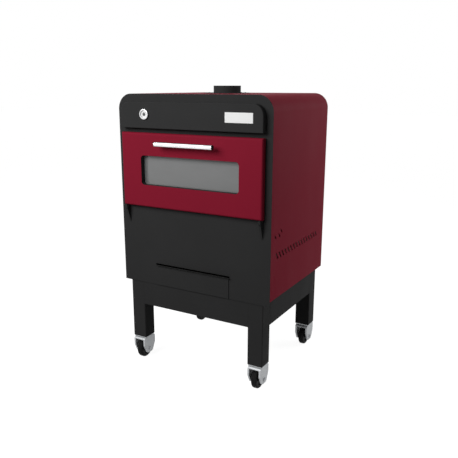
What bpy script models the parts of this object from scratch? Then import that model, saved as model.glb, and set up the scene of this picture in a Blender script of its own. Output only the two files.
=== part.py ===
"""Charcoal oven on a wheeled base, with a drop-down door, an ash drawer and a flue.

The front faces -Y and +Z is up. The origin is on the floor, under the middle of the
length from the door's handle to the rear wheels.
"""

import math

import bmesh
import bpy
from mathutils import Matrix, Vector

# Clearances and facets; every length is in metres
GAP = 0.0003
RUNNING_GAP = 0.0005
OVERRUN = 0.004
WELD = 0.00001
CORNER_STEPS = 5
TURN_STEPS = 32
WHEEL_STEPS = 24
SMALL_TURN_STEPS = 16
VENT_END_STEPS = 3
SHOULDER_STEPS = 3
SHARP_ANGLE = math.radians(35)

# Casters
WHEEL_RADIUS = 0.055
TYRE_WIDTH = 0.032
TYRE_SHOULDER = 0.009
RIM_RADIUS = 0.040
WEB_WIDTH = 0.014
HUB_RADIUS = 0.017
AXLE_RADIUS = 0.006
AXLE_HEAD_RADIUS = 0.010
AXLE_HEAD_LENGTH = 0.006
AXLE_TO_LEG = 0.085
HEAD_PLATE_SIZE = 0.082
HEAD_PLATE_THICKNESS = 0.005
RACE_RADIUS = 0.026
RACE_HEIGHT = 0.0034
KINGPIN_RADIUS = 0.007
KINGPIN_HEAD_RADIUS = 0.011
KINGPIN_HEAD_LENGTH = 0.003
FORK_WIDTH = 0.075
FORK_OPENING = 0.056
FORK_LENGTH = 0.097
FORK_CROWN = 0.011
FORK_SHOULDER = 0.012
FORK_STRAIGHT_DROP = 0.048
FORK_FOOT_LENGTH = 0.048
FORK_FOOT_BELOW_AXLE = 0.022
FORK_FOOT_RADIUS = 0.018

# Base frame
LEG_SIZE = 0.0855
LEG_WALL = 0.003
LEG_CORNER = 0.005
LEG_LENGTH = 0.363
BASE_SIDE_INSET = 0.03725
BASE_FRONT_SETBACK = 0.00425
BASE_REAR_OVERHANG = 0.01275
APRON_HEIGHT = 0.1575
APRON_FLANGE = 0.030
APRON_WALL = 0.003

# Body
BODY_WIDTH = 0.900
BODY_DEPTH = 0.705
JACKET_HEIGHT = 0.997
JACKET_CORNER = 0.080
JACKET_WALL = 0.002
FASCIA_WALL = 0.003
FASCIA_SKIRT = 0.024
BOTTOM_WALL = 0.003
REAR_WALL = 0.002
REAR_COVER_INSET = 0.012

# Side vents, measured from the fascia's front and the jacket's lower edge
VENT_COUNT = 16
VENT_PITCH = 0.0348
VENT_FIRST_SETBACK = 0.075
VENT_RISE = 0.221
VENT_LENGTH = 0.0284
VENT_WIDTH = 0.010
VENT_SLANT = math.radians(-45)
SMALL_VENT_LENGTH = 0.018
SMALL_VENT_WIDTH = 0.007
SMALL_VENT_NEAR_SETBACK = 0.052
SMALL_VENT_MIDDLE_SETBACK = 0.098
SMALL_VENT_FAR_SETBACK = 0.120
SMALL_VENT_LOW_RISE = 0.321
SMALL_VENT_HIGH_RISE = 0.341

# Control panel
PANEL_SIDE_MARGIN = 0.035
PANEL_HEIGHT = 0.132
PANEL_TOP_DROP = 0.040
PANEL_PROUD = 0.033
PANEL_CORNER = 0.055
PANEL_EDGE = 0.003
PANEL_WALL = 0.002
PLATE_WIDTH = 0.149
PLATE_HEIGHT = 0.048
PLATE_THICKNESS = 0.002
PLATE_SETBACK = 0.126
PLATE_DROP = 0.065

# Thermometer
THERMOMETER_SETBACK = 0.157
THERMOMETER_DROP = 0.061
BEZEL_RADIUS = 0.0265
BEZEL_LIP_RADIUS = 0.020
BEZEL_BORE = 0.0225
BEZEL_DEPTH = 0.0095
BEZEL_LIP = 0.0012
BEZEL_BACK = 0.002
BEZEL_BEVEL = 0.0015
STEM_RADIUS = 0.003
STEM_LENGTH = 0.115
LENS_THICKNESS = 0.0015
DIAL_THICKNESS = 0.001
NEEDLE_HUB_RADIUS = 0.004
NEEDLE_HUB_LENGTH = 0.0022
NEEDLE_LENGTH = 0.015
NEEDLE_THICKNESS = 0.0008
NEEDLE_REST_ANGLE = math.radians(225)

# Door
DOOR_SIDE_MARGIN = 0.0345
DOOR_HEIGHT = 0.388
DOOR_PROUD = 0.033
DOOR_EDGE = 0.012
DOOR_WALL = 0.002
DOOR_REAR_GAP = 0.005
DOOR_TO_PANEL = 0.023
EDGE_STEPS = 4
WINDOW_SIDE_MARGIN = 0.125
WINDOW_HEIGHT = 0.154
WINDOW_CORNER = 0.018
WINDOW_DROP = 0.116
JAMB_WALL = 0.002
GLASS_SETBACK = 0.029
GLASS_THICKNESS = 0.004
GLASS_OVERLAP = 0.015
PLUG_MARGIN_WIDTH = 0.0395
PLUG_MARGIN_HEIGHT = 0.0605
PLUG_REACH = 0.030
PLUG_CORNER = 0.010
MOUTH_CLEARANCE = 0.006
SEAL_WIDTH = 0.014
SEAL_MARGIN = 0.004

# Door handle
HANDLE_LENGTH = 0.345
HANDLE_RADIUS = 0.012
HANDLE_REACH = 0.041
HANDLE_DROP = 0.050
HANDLE_CAP_LENGTH = 0.004
HANDLE_CAP_STUD_RADIUS = 0.004
HANDLE_CAP_STUD_LENGTH = 0.001
POST_RADIUS = 0.007
POST_SPACING = 0.250

# Door hinge
HINGE_FORWARD = 0.020
HINGE_DROP = 0.014
KNUCKLE_RADIUS = 0.011
LUG_INSET = 0.008
LUG_WIDTH = 0.011
LUG_CHEEK = 0.002
LUG_WEB = 0.003
LUG_LENGTH = 0.088
LUG_WEB_CLEARANCE = 0.0015
HINGE_PIN_RADIUS = 0.004
HINGE_PIN_HEAD_RADIUS = 0.006
HINGE_PIN_HEAD_LENGTH = 0.002

# Oven chamber, firebox and insulation
CHAMBER_TOP_DROP = 0.080
CHAMBER_SILL = 0.029
CHAMBER_WALL = 0.003
HOPPER_HEIGHT = 0.330
HOPPER_WALL = 0.004
HOPPER_OUTLET_WIDTH = 0.380
HOPPER_OUTLET_LENGTH = 0.400
HOPPER_OUTLET_SETBACK = 0.045
GRATE_RISE = 0.120
GRATE_THICKNESS = 0.012
GRATE_BORDER = 0.024
GRATE_SLOT_WIDTH = 0.016
GRATE_BAR_WIDTH = 0.016
BLANKET_SIDE = 0.080
BLANKET_SIDE_CLEARANCE = 0.018
BLANKET_TOP = 0.060
BLANKET_BACK = 0.050
BLANKET_BACK_CLEARANCE = 0.0377
BLANKET_CORNER = 0.055
BLANKET_BELOW_CHAMBER = 0.300

# Racks and grids
RACK_PLATE = 0.003
RACK_LEDGE = 0.018
RACK_LEDGE_THICKNESS = 0.003
RACK_LEDGE_COUNT = 4
RACK_PITCH = 0.065
RACK_FIRST_RISE = 0.030
RACK_FOOT = 0.012
RACK_SETBACK = 0.045
RACK_BACK_CLEARANCE = 0.0323
GRID_BACK_CLEARANCE = 0.030
GRID_BORDER = 0.010
GRID_BAR_WIDTH = 0.007
GRID_BAR_GAP = 0.018
GRID_THICKNESS = 0.008
GRID_SIDE_CLEARANCE = 0.002
LOWER_GRID_LEDGE = 0
UPPER_GRID_LEDGE = 2

# Ash drawer
DRAWER_WIDTH = 0.439
DRAWER_TOP_RISE = 0.0955
DRAWER_SKIRT = 0.022
DRAWER_PROUD = 0.004
DRAWER_LIP_WIDTH = 0.457
DRAWER_LIP = 0.020
DRAWER_LIP_THICKNESS = 0.003
DRAWER_SLOT = 0.006
TRAY_WIDTH = 0.412
TRAY_LENGTH = 0.475
TRAY_HEIGHT = 0.066
TRAY_WALL = 0.0015
TRAY_FLANGE = 0.010
TRAY_RISE = 0.003
RAIL_WIDTH = 0.016
RAIL_WALL = 0.002
RAIL_CLEARANCE = 0.002
RAIL_LENGTH = 0.500

# Flue
FLUE_RADIUS = 0.0735
FLUE_WALL = 0.002
FLUE_RISE = 0.040
FLUE_SETBACK = 0.366
FLUE_FLANGE_RADIUS = 0.122
FLUE_FLANGE_THICKNESS = 0.003

# Heights above the floor
leg_end_z = WHEEL_RADIUS + AXLE_TO_LEG
body_z = leg_end_z + LEG_LENGTH
jacket_top_z = body_z + JACKET_HEIGHT
fascia_low_z = body_z - FASCIA_SKIRT
panel_top_z = jacket_top_z - PANEL_TOP_DROP
panel_low_z = panel_top_z - PANEL_HEIGHT
door_top_z = panel_low_z - DOOR_TO_PANEL
door_low_z = door_top_z - DOOR_HEIGHT
window_top_z = door_top_z - WINDOW_DROP
window_low_z = window_top_z - WINDOW_HEIGHT
plug_top_z = window_top_z + PLUG_MARGIN_HEIGHT
plug_low_z = window_low_z - PLUG_MARGIN_HEIGHT
mouth_top_z = plug_top_z + MOUTH_CLEARANCE
mouth_low_z = plug_low_z - MOUTH_CLEARANCE
hinge_z = door_low_z - HINGE_DROP
handle_z = door_top_z - HANDLE_DROP
chamber_top_z = jacket_top_z - CHAMBER_TOP_DROP
chamber_low_z = mouth_low_z - CHAMBER_SILL
hopper_top_z = chamber_low_z - GAP
hopper_low_z = hopper_top_z - HOPPER_HEIGHT
drawer_top_z = body_z + DRAWER_TOP_RISE
floor_plate_z = body_z + BOTTOM_WALL

# Places from front to back, with the fascia's front at front_y
front_reach = DOOR_PROUD + HANDLE_REACH + HANDLE_RADIUS
rear_reach = BODY_DEPTH + BASE_REAR_OVERHANG - LEG_SIZE / 2 + WHEEL_RADIUS
front_y = (front_reach - rear_reach) / 2
fascia_back_y = front_y + FASCIA_WALL
body_back_y = front_y + BODY_DEPTH
base_front_y = front_y + BASE_FRONT_SETBACK
base_back_y = body_back_y + BASE_REAR_OVERHANG
panel_face_y = front_y - PANEL_PROUD
door_face_y = front_y - DOOR_PROUD
door_back_y = front_y - DOOR_REAR_GAP
glass_y = door_face_y + GLASS_SETBACK
plug_back_y = front_y + PLUG_REACH
handle_y = door_face_y - HANDLE_REACH
hinge_y = front_y - HINGE_FORWARD
chamber_front_y = fascia_back_y + GAP
chamber_back_y = body_back_y - REAR_WALL - BLANKET_BACK_CLEARANCE - BLANKET_BACK
rack_front_y = front_y + RACK_SETBACK
rack_back_y = chamber_back_y - CHAMBER_WALL - RACK_BACK_CLEARANCE
flue_y = front_y + FLUE_SETBACK

# Half widths
body_half = BODY_WIDTH / 2
jacket_inner_half = body_half - JACKET_WALL
base_half = body_half - BASE_SIDE_INSET
panel_half = body_half - PANEL_SIDE_MARGIN
door_half = body_half - DOOR_SIDE_MARGIN
window_half = door_half - WINDOW_SIDE_MARGIN
plug_half = window_half + PLUG_MARGIN_WIDTH
mouth_half = plug_half + MOUTH_CLEARANCE
chamber_half = jacket_inner_half - BLANKET_SIDE_CLEARANCE - BLANKET_SIDE
chamber_inner_half = chamber_half - CHAMBER_WALL
tray_half = TRAY_WIDTH / 2
lug_middle_x = door_half - LUG_INSET - LUG_WIDTH / 2

FINISHES = {
    "red_enamel": ((0.190, 0.009, 0.024), 0.38, 0.0),
    "black_paint": ((0.030, 0.030, 0.031), 0.45, 0.0),
    "dark_steel": ((0.050, 0.048, 0.046), 0.55, 0.8),
    "cast_iron": ((0.045, 0.043, 0.042), 0.75, 0.6),
    "brushed_steel": ((0.560, 0.570, 0.580), 0.32, 1.0),
    "polished_steel": ((0.760, 0.770, 0.780), 0.14, 1.0),
    "zinc": ((0.520, 0.540, 0.560), 0.38, 1.0),
    "rubber": ((0.020, 0.020, 0.021), 0.80, 0.0),
    "black_plastic": ((0.025, 0.025, 0.025), 0.50, 0.0),
    "glass": ((0.210, 0.215, 0.215), 0.06, 0.0),
    "white_enamel": ((0.880, 0.880, 0.870), 0.35, 0.0),
    "mineral_wool": ((0.440, 0.410, 0.340), 0.95, 0.0),
    "rope": ((0.330, 0.320, 0.300), 0.95, 0.0),
}

SIDES = (("left", -1), ("right", 1))
QUARTER = math.pi / 2
FACINGS = {
    "X": (QUARTER, 0, QUARTER),
    "Y": (QUARTER, 0, 0),
    "Z": (0, 0, 0),
}

parts = bpy.data.collections.new("charcoal_oven")
cutters = bpy.data.collections.new("charcoal_oven_cutters")


def clear_scene():
    for obj in list(bpy.data.objects):
        bpy.data.objects.remove(obj, do_unlink=True)
    bpy.context.scene.collection.children.link(parts)
    bpy.context.scene.collection.children.link(cutters)


def material(finish):
    """The Principled material of a finish, made the first time that it is asked for."""
    found = bpy.data.materials.get(finish)
    if found:
        return found
    colour, roughness, metallic = FINISHES[finish]
    made = bpy.data.materials.new(finish)
    made.use_nodes = True
    made.diffuse_color = (*colour, 1)
    shader = made.node_tree.nodes["Principled BSDF"]
    shader.inputs["Base Color"].default_value = (*colour, 1)
    shader.inputs["Roughness"].default_value = roughness
    shader.inputs["Metallic"].default_value = metallic
    return made


def add(name, mesh, finish, place=(0, 0, 0), turn=(0, 0, 0)):
    """A part made of a mesh. A finish of None makes a hidden cutter."""
    obj = bpy.data.objects.new(name, mesh)
    obj.location = place
    obj.rotation_euler = turn
    if finish:
        mesh.materials.clear()
        mesh.materials.append(material(finish))
        parts.objects.link(obj)
    else:
        cutters.objects.link(obj)
        obj.hide_render = True
        obj.display_type = "WIRE"
    return obj


def empty(name, place, parent=None):
    """An empty on a joint's axis, for the pieces that move with it."""
    made = bpy.data.objects.new(name, None)
    made.location = place
    parts.objects.link(made)
    if parent:
        carry(parent, made)
    return made


def carry(parent, *pieces):
    """Parents pieces to an empty and leaves them where they are."""
    start = Vector()
    above = parent
    while above:
        start += above.location
        above = above.parent
    for piece in pieces:
        piece.parent = parent
        piece.location -= start


def boolean(obj, operation, *others):
    for other in others:
        modifier = obj.modifiers.new(operation.capitalize(), "BOOLEAN")
        modifier.operation = operation
        modifier.solver = "EXACT"
        modifier.object = other
    return obj


def cut(obj, *others):
    return boolean(obj, "DIFFERENCE", *others)


def join(obj, *others):
    return boolean(obj, "UNION", *others)


def smooth(obj):
    obj.data.shade_smooth()
    obj.data.set_sharp_from_angle(angle=SHARP_ANGLE)
    return obj


def box(name, finish, low, high, edge=0):
    """A box between two opposite corners, its front edges rounded where edge is given."""
    low = Vector(low)
    high = Vector(high)
    shape = bmesh.new()
    bmesh.ops.create_cube(shape, size=1)
    bmesh.ops.scale(shape, vec=high - low, verts=shape.verts)
    if edge:
        front = low.y - (low.y + high.y) / 2
        round_rim(shape, 1, front, edge)
    mesh = bpy.data.meshes.new(name)
    shape.to_mesh(mesh)
    shape.free()
    return add(name, mesh, finish, (low + high) / 2)


def round_rim(shape, axis, level, radius):
    """Rounds the edges that lie in one plane across an axis."""
    rim = []
    for edge in shape.edges:
        in_plane = all(abs(corner.co[axis] - level) < WELD for corner in edge.verts)
        if in_plane and edge.calc_face_angle(0) > SHARP_ANGLE:
            rim.append(edge)
    bmesh.ops.bevel(
        shape, geom=rim, offset=radius, segments=EDGE_STEPS, profile=0.5, affect="EDGES", material=-1
    )


def rounded(corners):
    """The points of a closed outline with rounded corners, each given as (x, y, radius)."""
    points = []
    for index, (x, y, radius) in enumerate(corners):
        corner = Vector((x, y))
        if not radius:
            points.append(corner)
            continue
        before = (Vector(corners[index - 1][:2]) - corner).normalized()
        after = (Vector(corners[(index + 1) % len(corners)][:2]) - corner).normalized()
        half = before.angle(after) / 2
        centre = corner + (before + after).normalized() * (radius / math.sin(half))
        start = corner + before * (radius / math.tan(half)) - centre
        end = corner + after * (radius / math.tan(half)) - centre
        sweep = math.atan2(start.cross(end), start.dot(end))
        for step in range(CORNER_STEPS + 1):
            points.append(centre + Matrix.Rotation(sweep * step / CORNER_STEPS, 2) @ start)
    return points


def rectangle(low, high, low_radius=0, high_radius=0):
    """A rectangle between two corners, with radii for its two lower and two upper corners."""
    return rounded(
        [
            (low[0], low[1], low_radius),
            (high[0], low[1], low_radius),
            (high[0], high[1], high_radius),
            (low[0], high[1], high_radius),
        ]
    )


def arc(centre, radius, start, end, steps=2 * CORNER_STEPS):
    """Points from one bearing to another, both ends among them."""
    points = []
    for step in range(steps + 1):
        bearing = start + (end - start) * step / steps
        points.append(Vector(centre) + radius * Vector((math.cos(bearing), math.sin(bearing))))
    return points


def circle(centre, radius, steps=SMALL_TURN_STEPS):
    return arc(centre, radius, 0, math.tau, steps)[:-1]


def capsule(centre, length, width, angle):
    """A slot outline with round ends, its long axis turned by an angle."""
    run = Vector((math.cos(angle), math.sin(angle))) * (length - width) / 2
    near = arc(Vector(centre) + run, width / 2, angle - QUARTER, angle + QUARTER, VENT_END_STEPS)
    far = arc(Vector(centre) - run, width / 2, angle + QUARTER, angle + 3 * QUARTER, VENT_END_STEPS)
    return near + far


def extruded(name, finish, outlines, axis, start, end, edge=0):
    """Outlines in world places, pushed along an axis. The inner ones are holes."""
    points = [point for outline in outlines for point in outline]
    across = (min(p[0] for p in points) + max(p[0] for p in points)) / 2
    up = (min(p[1] for p in points) + max(p[1] for p in points)) / 2
    curve = bpy.data.curves.new(name, "CURVE")
    curve.dimensions = "2D"
    curve.fill_mode = "BOTH"
    curve.extrude = abs(end - start) / 2
    for outline in outlines:
        spline = curve.splines.new("POLY")
        spline.points.add(len(outline) - 1)
        spline.use_cyclic_u = True
        for point, place in zip(spline.points, outline):
            point.co = (place[0] - across, place[1] - up, 0, 1)
    middle = (start + end) / 2
    places = {"X": (middle, across, up), "Y": (across, middle, up), "Z": (across, up, middle)}
    guide = bpy.data.objects.new(name, curve)
    guide.location = places[axis]
    guide.rotation_euler = FACINGS[axis]
    return solid_of_curve(guide, finish, edge)


def solid_of_curve(guide, finish, edge=0):
    """Turns a curve object into a closed mesh part and removes the curve."""
    bpy.context.scene.collection.objects.link(guide)
    bpy.context.view_layer.update()
    graph = bpy.context.evaluated_depsgraph_get()
    mesh = bpy.data.meshes.new_from_object(guide.evaluated_get(graph))
    shape = bmesh.new()
    shape.from_mesh(mesh)
    bmesh.ops.remove_doubles(shape, verts=shape.verts, dist=WELD)
    if edge:
        bmesh.ops.dissolve_limit(shape, angle_limit=WELD, verts=shape.verts, edges=shape.edges)
        round_rim(shape, 2, guide.data.extrude, edge)
    shape.to_mesh(mesh)
    shape.free()
    name = guide.name
    place = guide.location.copy()
    turn = guide.rotation_euler.copy()
    curve = guide.data
    bpy.data.objects.remove(guide)
    bpy.data.curves.remove(curve)
    mesh.name = name
    return add(name, mesh, finish, place, turn)


def turned(name, finish, profile, place, axis="Z", steps=TURN_STEPS, ring=False, start=0):
    """A profile of (radius, height) points, from top to bottom down its outer side, turned
    about an axis from a starting bearing. A ring's profile comes back up its bore."""
    mesh = bpy.data.meshes.new(name)
    count = len(profile)
    edges = [(index, index + 1) for index in range(count - 1)]
    if ring:
        edges.append((count - 1, 0))
    side = Vector((math.cos(start), math.sin(start)))
    mesh.from_pydata([(*(side * radius), height) for radius, height in profile], edges, [])
    turns = {"X": (0, QUARTER, 0), "Y": (QUARTER, 0, 0), "Z": (0, 0, 0)}
    obj = add(name, mesh, finish, place, turns[axis])
    screw = obj.modifiers.new("Turn", "SCREW")
    screw.steps = steps
    screw.render_steps = steps
    screw.use_merge_vertices = True
    screw.merge_threshold = WELD
    screw.use_smooth_shade = True
    return obj


def rod(name, finish, radius, length, place, axis, steps=SMALL_TURN_STEPS):
    """A solid cylinder centred on a place."""
    half = length / 2
    profile = [(0, half), (radius, half), (radius, -half), (0, -half)]
    return turned(name, finish, profile, place, axis, steps)


def make_jacket():
    """The red inverted U, with its vents and its flue hole."""
    outline = rounded(
        [
            (-body_half, body_z, 0),
            (-body_half, jacket_top_z, JACKET_CORNER),
            (body_half, jacket_top_z, JACKET_CORNER),
            (body_half, body_z, 0),
            (jacket_inner_half, body_z, 0),
            (jacket_inner_half, jacket_top_z - JACKET_WALL, JACKET_CORNER - JACKET_WALL),
            (-jacket_inner_half, jacket_top_z - JACKET_WALL, JACKET_CORNER - JACKET_WALL),
            (-jacket_inner_half, body_z, 0),
        ]
    )
    jacket = extruded("outer_shell", "red_enamel", [outline], "Y", fascia_back_y + GAP, body_back_y)
    slots = []
    for index in range(VENT_COUNT):
        centre = (front_y + VENT_FIRST_SETBACK + index * VENT_PITCH, body_z + VENT_RISE)
        slots.append(capsule(centre, VENT_LENGTH, VENT_WIDTH, VENT_SLANT))
    small_vents = [
        (SMALL_VENT_NEAR_SETBACK, SMALL_VENT_LOW_RISE),
        (SMALL_VENT_MIDDLE_SETBACK, SMALL_VENT_LOW_RISE),
        (SMALL_VENT_FAR_SETBACK, SMALL_VENT_HIGH_RISE),
    ]
    for setback, rise in small_vents:
        centre = (front_y + setback, body_z + rise)
        slots.append(capsule(centre, SMALL_VENT_LENGTH, SMALL_VENT_WIDTH, VENT_SLANT))
    reach = body_half + OVERRUN
    inside = jacket_inner_half - OVERRUN
    cutters = [flue_cutter("jacket_flue_cutter", JACKET_WALL)]
    for side, sign in SIDES:
        cutters.append(extruded(f"vent_cutter_{side}", None, slots, "X", sign * inside, sign * reach))
    return smooth(cut(jacket, *cutters))


def flue_cutter(name, wall):
    """A cylinder that clears the flue collar through the jacket's top and what lies under it."""
    depth = jacket_top_z - chamber_top_z + wall + 2 * OVERRUN
    middle = jacket_top_z + OVERRUN - depth / 2
    return rod(name, None, FLUE_RADIUS + RUNNING_GAP, depth, (0, flue_y, middle), "Z", TURN_STEPS)


def make_fascia():
    """The black front plate with the oven's mouth, the drawer's opening and the stem's hole."""
    outer = rectangle((-body_half, fascia_low_z), (body_half, jacket_top_z), 0, JACKET_CORNER)
    mouth = rectangle((-mouth_half, mouth_low_z), (mouth_half, mouth_top_z), PLUG_CORNER, PLUG_CORNER)
    drawer_half = tray_half + TRAY_FLANGE + RAIL_CLEARANCE
    drawer_low = (-drawer_half, floor_plate_z + TRAY_RISE / 2)
    drawer = rectangle(drawer_low, (drawer_half, drawer_top_z + DRAWER_SLOT))
    stem = circle(stem_place(), STEM_RADIUS + RUNNING_GAP)
    outlines = [outer, mouth, drawer, stem]
    return smooth(extruded("front_fascia", "black_paint", outlines, "Y", front_y, fascia_back_y))


def stem_place():
    return (THERMOMETER_SETBACK - panel_half, panel_top_z - THERMOMETER_DROP)


def make_control_panel():
    """The raised black pan over the door."""
    low = (-panel_half, panel_low_z)
    high = (panel_half, panel_top_z)
    panel = extruded(
        "control_panel",
        "black_paint",
        [rectangle(low, high, 0, PANEL_CORNER)],
        "Y",
        panel_face_y,
        front_y - GAP,
        PANEL_EDGE,
    )
    inner = rectangle(
        (-panel_half + PANEL_WALL, panel_low_z + PANEL_WALL),
        (panel_half - PANEL_WALL, panel_top_z - PANEL_WALL),
        0,
        PANEL_CORNER - PANEL_WALL,
    )
    hollow = extruded("panel_cutter", None, [inner], "Y", panel_face_y + PANEL_WALL, front_y + OVERRUN)
    x, z = stem_place()
    hole = rod("stem_cutter", None, STEM_RADIUS + RUNNING_GAP, 4 * PANEL_WALL, (x, panel_face_y, z), "Y")
    return smooth(cut(panel, hollow, hole))


def make_name_plate():
    """The bare plate on the control panel."""
    plate_y = panel_face_y - GAP - PLATE_THICKNESS / 2
    middle = Vector((panel_half - PLATE_SETBACK, plate_y, panel_top_z - PLATE_DROP))
    half = Vector((PLATE_WIDTH, PLATE_THICKNESS, PLATE_HEIGHT)) / 2
    return box("bare_plate", "white_enamel", middle - half, middle + half)


def make_thermometer():
    """A bezel with a stem, a dial, a needle on its own axis and a lens behind the bezel's lip."""
    x, z = stem_place()
    back_y = panel_face_y - GAP
    bezel = turned(
        "thermometer_bezel",
        "polished_steel",
        [
            (BEZEL_LIP_RADIUS, BEZEL_DEPTH),
            (BEZEL_RADIUS - BEZEL_BEVEL, BEZEL_DEPTH),
            (BEZEL_RADIUS, BEZEL_DEPTH - BEZEL_BEVEL),
            (BEZEL_RADIUS, 0),
            (STEM_RADIUS, 0),
            (STEM_RADIUS, -STEM_LENGTH),
            (0, -STEM_LENGTH),
            (0, BEZEL_BACK),
            (BEZEL_BORE, BEZEL_BACK),
            (BEZEL_BORE, BEZEL_DEPTH - BEZEL_LIP),
            (BEZEL_LIP_RADIUS, BEZEL_DEPTH - BEZEL_LIP),
        ],
        (x, back_y, z),
        "Y",
        ring=True,
    )
    disc = BEZEL_BORE - GAP
    dial_y = back_y - BEZEL_BACK - GAP - DIAL_THICKNESS / 2
    dial = rod("thermometer_dial", "white_enamel", disc, DIAL_THICKNESS, (x, dial_y, z), "Y", TURN_STEPS)
    lens_y = back_y - BEZEL_DEPTH + BEZEL_LIP + GAP + LENS_THICKNESS / 2
    lens = rod("thermometer_lens", "glass", disc, LENS_THICKNESS, (x, lens_y, z), "Y", TURN_STEPS)
    spindle = empty("needle_axis", (x, dial_y - DIAL_THICKNESS / 2 - GAP, z))
    needle = make_needle(x, spindle.location.y, z)
    carry(spindle, needle)
    return bezel, dial, lens


def make_needle(x, back_y, z):
    """A hub with a pointer on its front half, seen from the front at its rest angle."""
    hub = rod(
        "thermometer_needle",
        "black_plastic",
        NEEDLE_HUB_RADIUS,
        NEEDLE_HUB_LENGTH,
        (x, back_y - NEEDLE_HUB_LENGTH / 2, z),
        "Y",
    )
    across = Vector((math.cos(NEEDLE_REST_ANGLE), math.sin(NEEDLE_REST_ANGLE)))
    side = Vector((-across.y, across.x)) * NEEDLE_THICKNESS
    centre = Vector((x, z))
    tip = centre + across * NEEDLE_LENGTH
    outline = [centre - side, tip, centre + side]
    start_y = back_y - NEEDLE_HUB_LENGTH + NEEDLE_THICKNESS
    end_y = start_y + NEEDLE_THICKNESS
    return join(hub, extruded("pointer_joiner", None, [outline], "Y", start_y, end_y))


def make_rear_and_floor():
    """The dished rear cover inside the jacket's rear edge, and the plate under the body."""
    half = jacket_inner_half - GAP
    low = body_z + GAP
    top = jacket_top_z - JACKET_WALL - GAP
    corner = JACKET_CORNER - JACKET_WALL

    def inset_outline(inset, low_radius):
        low_corner = (-half + inset, low + inset)
        return rectangle(low_corner, (half - inset, top - inset), low_radius, corner - inset)

    flange_y = body_back_y - REAR_WALL
    cover = extruded("rear_cover", "black_paint", [inset_outline(0, 0)], "Y", flange_y, body_back_y)
    dish_outline = inset_outline(REAR_COVER_INSET, REAR_COVER_INSET)
    hollow_outline = inset_outline(REAR_COVER_INSET + REAR_WALL, REAR_COVER_INSET - REAR_WALL)
    dish_y = body_back_y - REAR_WALL / 2
    dish = extruded("rear_dish_joiner", None, [dish_outline], "Y", dish_y, base_back_y)
    hollow_back_y = base_back_y - REAR_WALL
    hollow = extruded("rear_cutter", None, [hollow_outline], "Y", flange_y - OVERRUN, hollow_back_y)
    join(cover, dish)
    cut(cover, hollow)
    floor = box(
        "bottom_plate",
        "black_paint",
        (-half, fascia_back_y + GAP, body_z),
        (half, flange_y - GAP, floor_plate_z),
    )
    return smooth(cover), floor


def make_chamber():
    """The oven chamber, open to the mouth and to the firebox under it."""
    chamber = box(
        "oven_chamber",
        "dark_steel",
        (-chamber_half, chamber_front_y, chamber_low_z),
        (chamber_half, chamber_back_y, chamber_top_z),
    )
    hollow = box(
        "chamber_cutter",
        None,
        (-chamber_inner_half, chamber_front_y - OVERRUN, chamber_low_z - OVERRUN),
        (chamber_inner_half, chamber_back_y - CHAMBER_WALL, chamber_top_z - CHAMBER_WALL),
    )
    outlet = rod(
        "outlet_cutter",
        None,
        FLUE_RADIUS - FLUE_WALL - RUNNING_GAP,
        4 * CHAMBER_WALL,
        (0, flue_y, chamber_top_z),
        "Z",
        TURN_STEPS,
    )
    return cut(chamber, hollow, outlet)


def hopper_section(rise):
    """The (width, length) of the hopper's outside at a rise above its outlet, and its middle."""
    share = rise / HOPPER_HEIGHT
    width = HOPPER_OUTLET_WIDTH + (2 * chamber_half - HOPPER_OUTLET_WIDTH) * share
    chamber_depth = chamber_back_y - chamber_front_y
    length = HOPPER_OUTLET_LENGTH + (chamber_depth - HOPPER_OUTLET_LENGTH) * share
    outlet_y = front_y + HOPPER_OUTLET_SETBACK + HOPPER_OUTLET_LENGTH / 2
    chamber_y = (chamber_front_y + chamber_back_y) / 2
    return (width, length), outlet_y + (chamber_y - outlet_y) * share


def frustum(name, finish, low_rise, top_rise, wall):
    """The hopper's shape between two rises above its outlet, a wall's thickness inside it."""
    shape = bmesh.new()
    bmesh.ops.create_cube(shape, size=1)
    for corner in shape.verts:
        rise = top_rise if corner.co.z > 0 else low_rise
        size, centre_y = hopper_section(rise)
        corner.co.x *= size[0] - 2 * wall
        corner.co.y = corner.co.y * (size[1] - 2 * wall) + centre_y
        corner.co.z = rise
    mesh = bpy.data.meshes.new(name)
    shape.to_mesh(mesh)
    shape.free()
    return add(name, mesh, finish, (0, 0, hopper_low_z))


def make_hopper():
    """The funnel from the chamber down to the ash drawer."""
    hopper = frustum("firebox_hopper", "dark_steel", 0, HOPPER_HEIGHT, 0)
    hollow = frustum("hopper_cutter", None, -OVERRUN, HOPPER_HEIGHT + OVERRUN, HOPPER_WALL)
    return cut(hopper, hollow)


def slotted(low, high, border, slot, bar, rows):
    """A rectangle with as many rows of slots along Y as asked, and as many slots as fit."""
    outlines = [rectangle(low, high)]
    width = high[0] - low[0] - 2 * border
    count = int((width + bar) / (slot + bar))
    pitch = (width + bar) / count
    length = (high[1] - low[1] - (rows + 1) * border) / rows
    for column in range(count):
        start_x = low[0] + border + column * pitch
        for row in range(rows):
            start_y = low[1] + border + row * (length + border)
            outlines.append(rectangle((start_x, start_y), (start_x + pitch - bar, start_y + length)))
    return outlines


def make_grate():
    """The slotted plate that holds the charcoal, wedged in the hopper."""
    size, centre_y = hopper_section(GRATE_RISE)
    half_width = size[0] / 2 - HOPPER_WALL - GAP
    half_length = size[1] / 2 - HOPPER_WALL - GAP
    low = (-half_width, centre_y - half_length)
    high = (half_width, centre_y + half_length)
    outlines = slotted(low, high, GRATE_BORDER, GRATE_SLOT_WIDTH, GRATE_BAR_WIDTH, 2)
    start = hopper_low_z + GRATE_RISE
    return extruded("charcoal_grate", "cast_iron", outlines, "Z", start, start + GRATE_THICKNESS)


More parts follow.
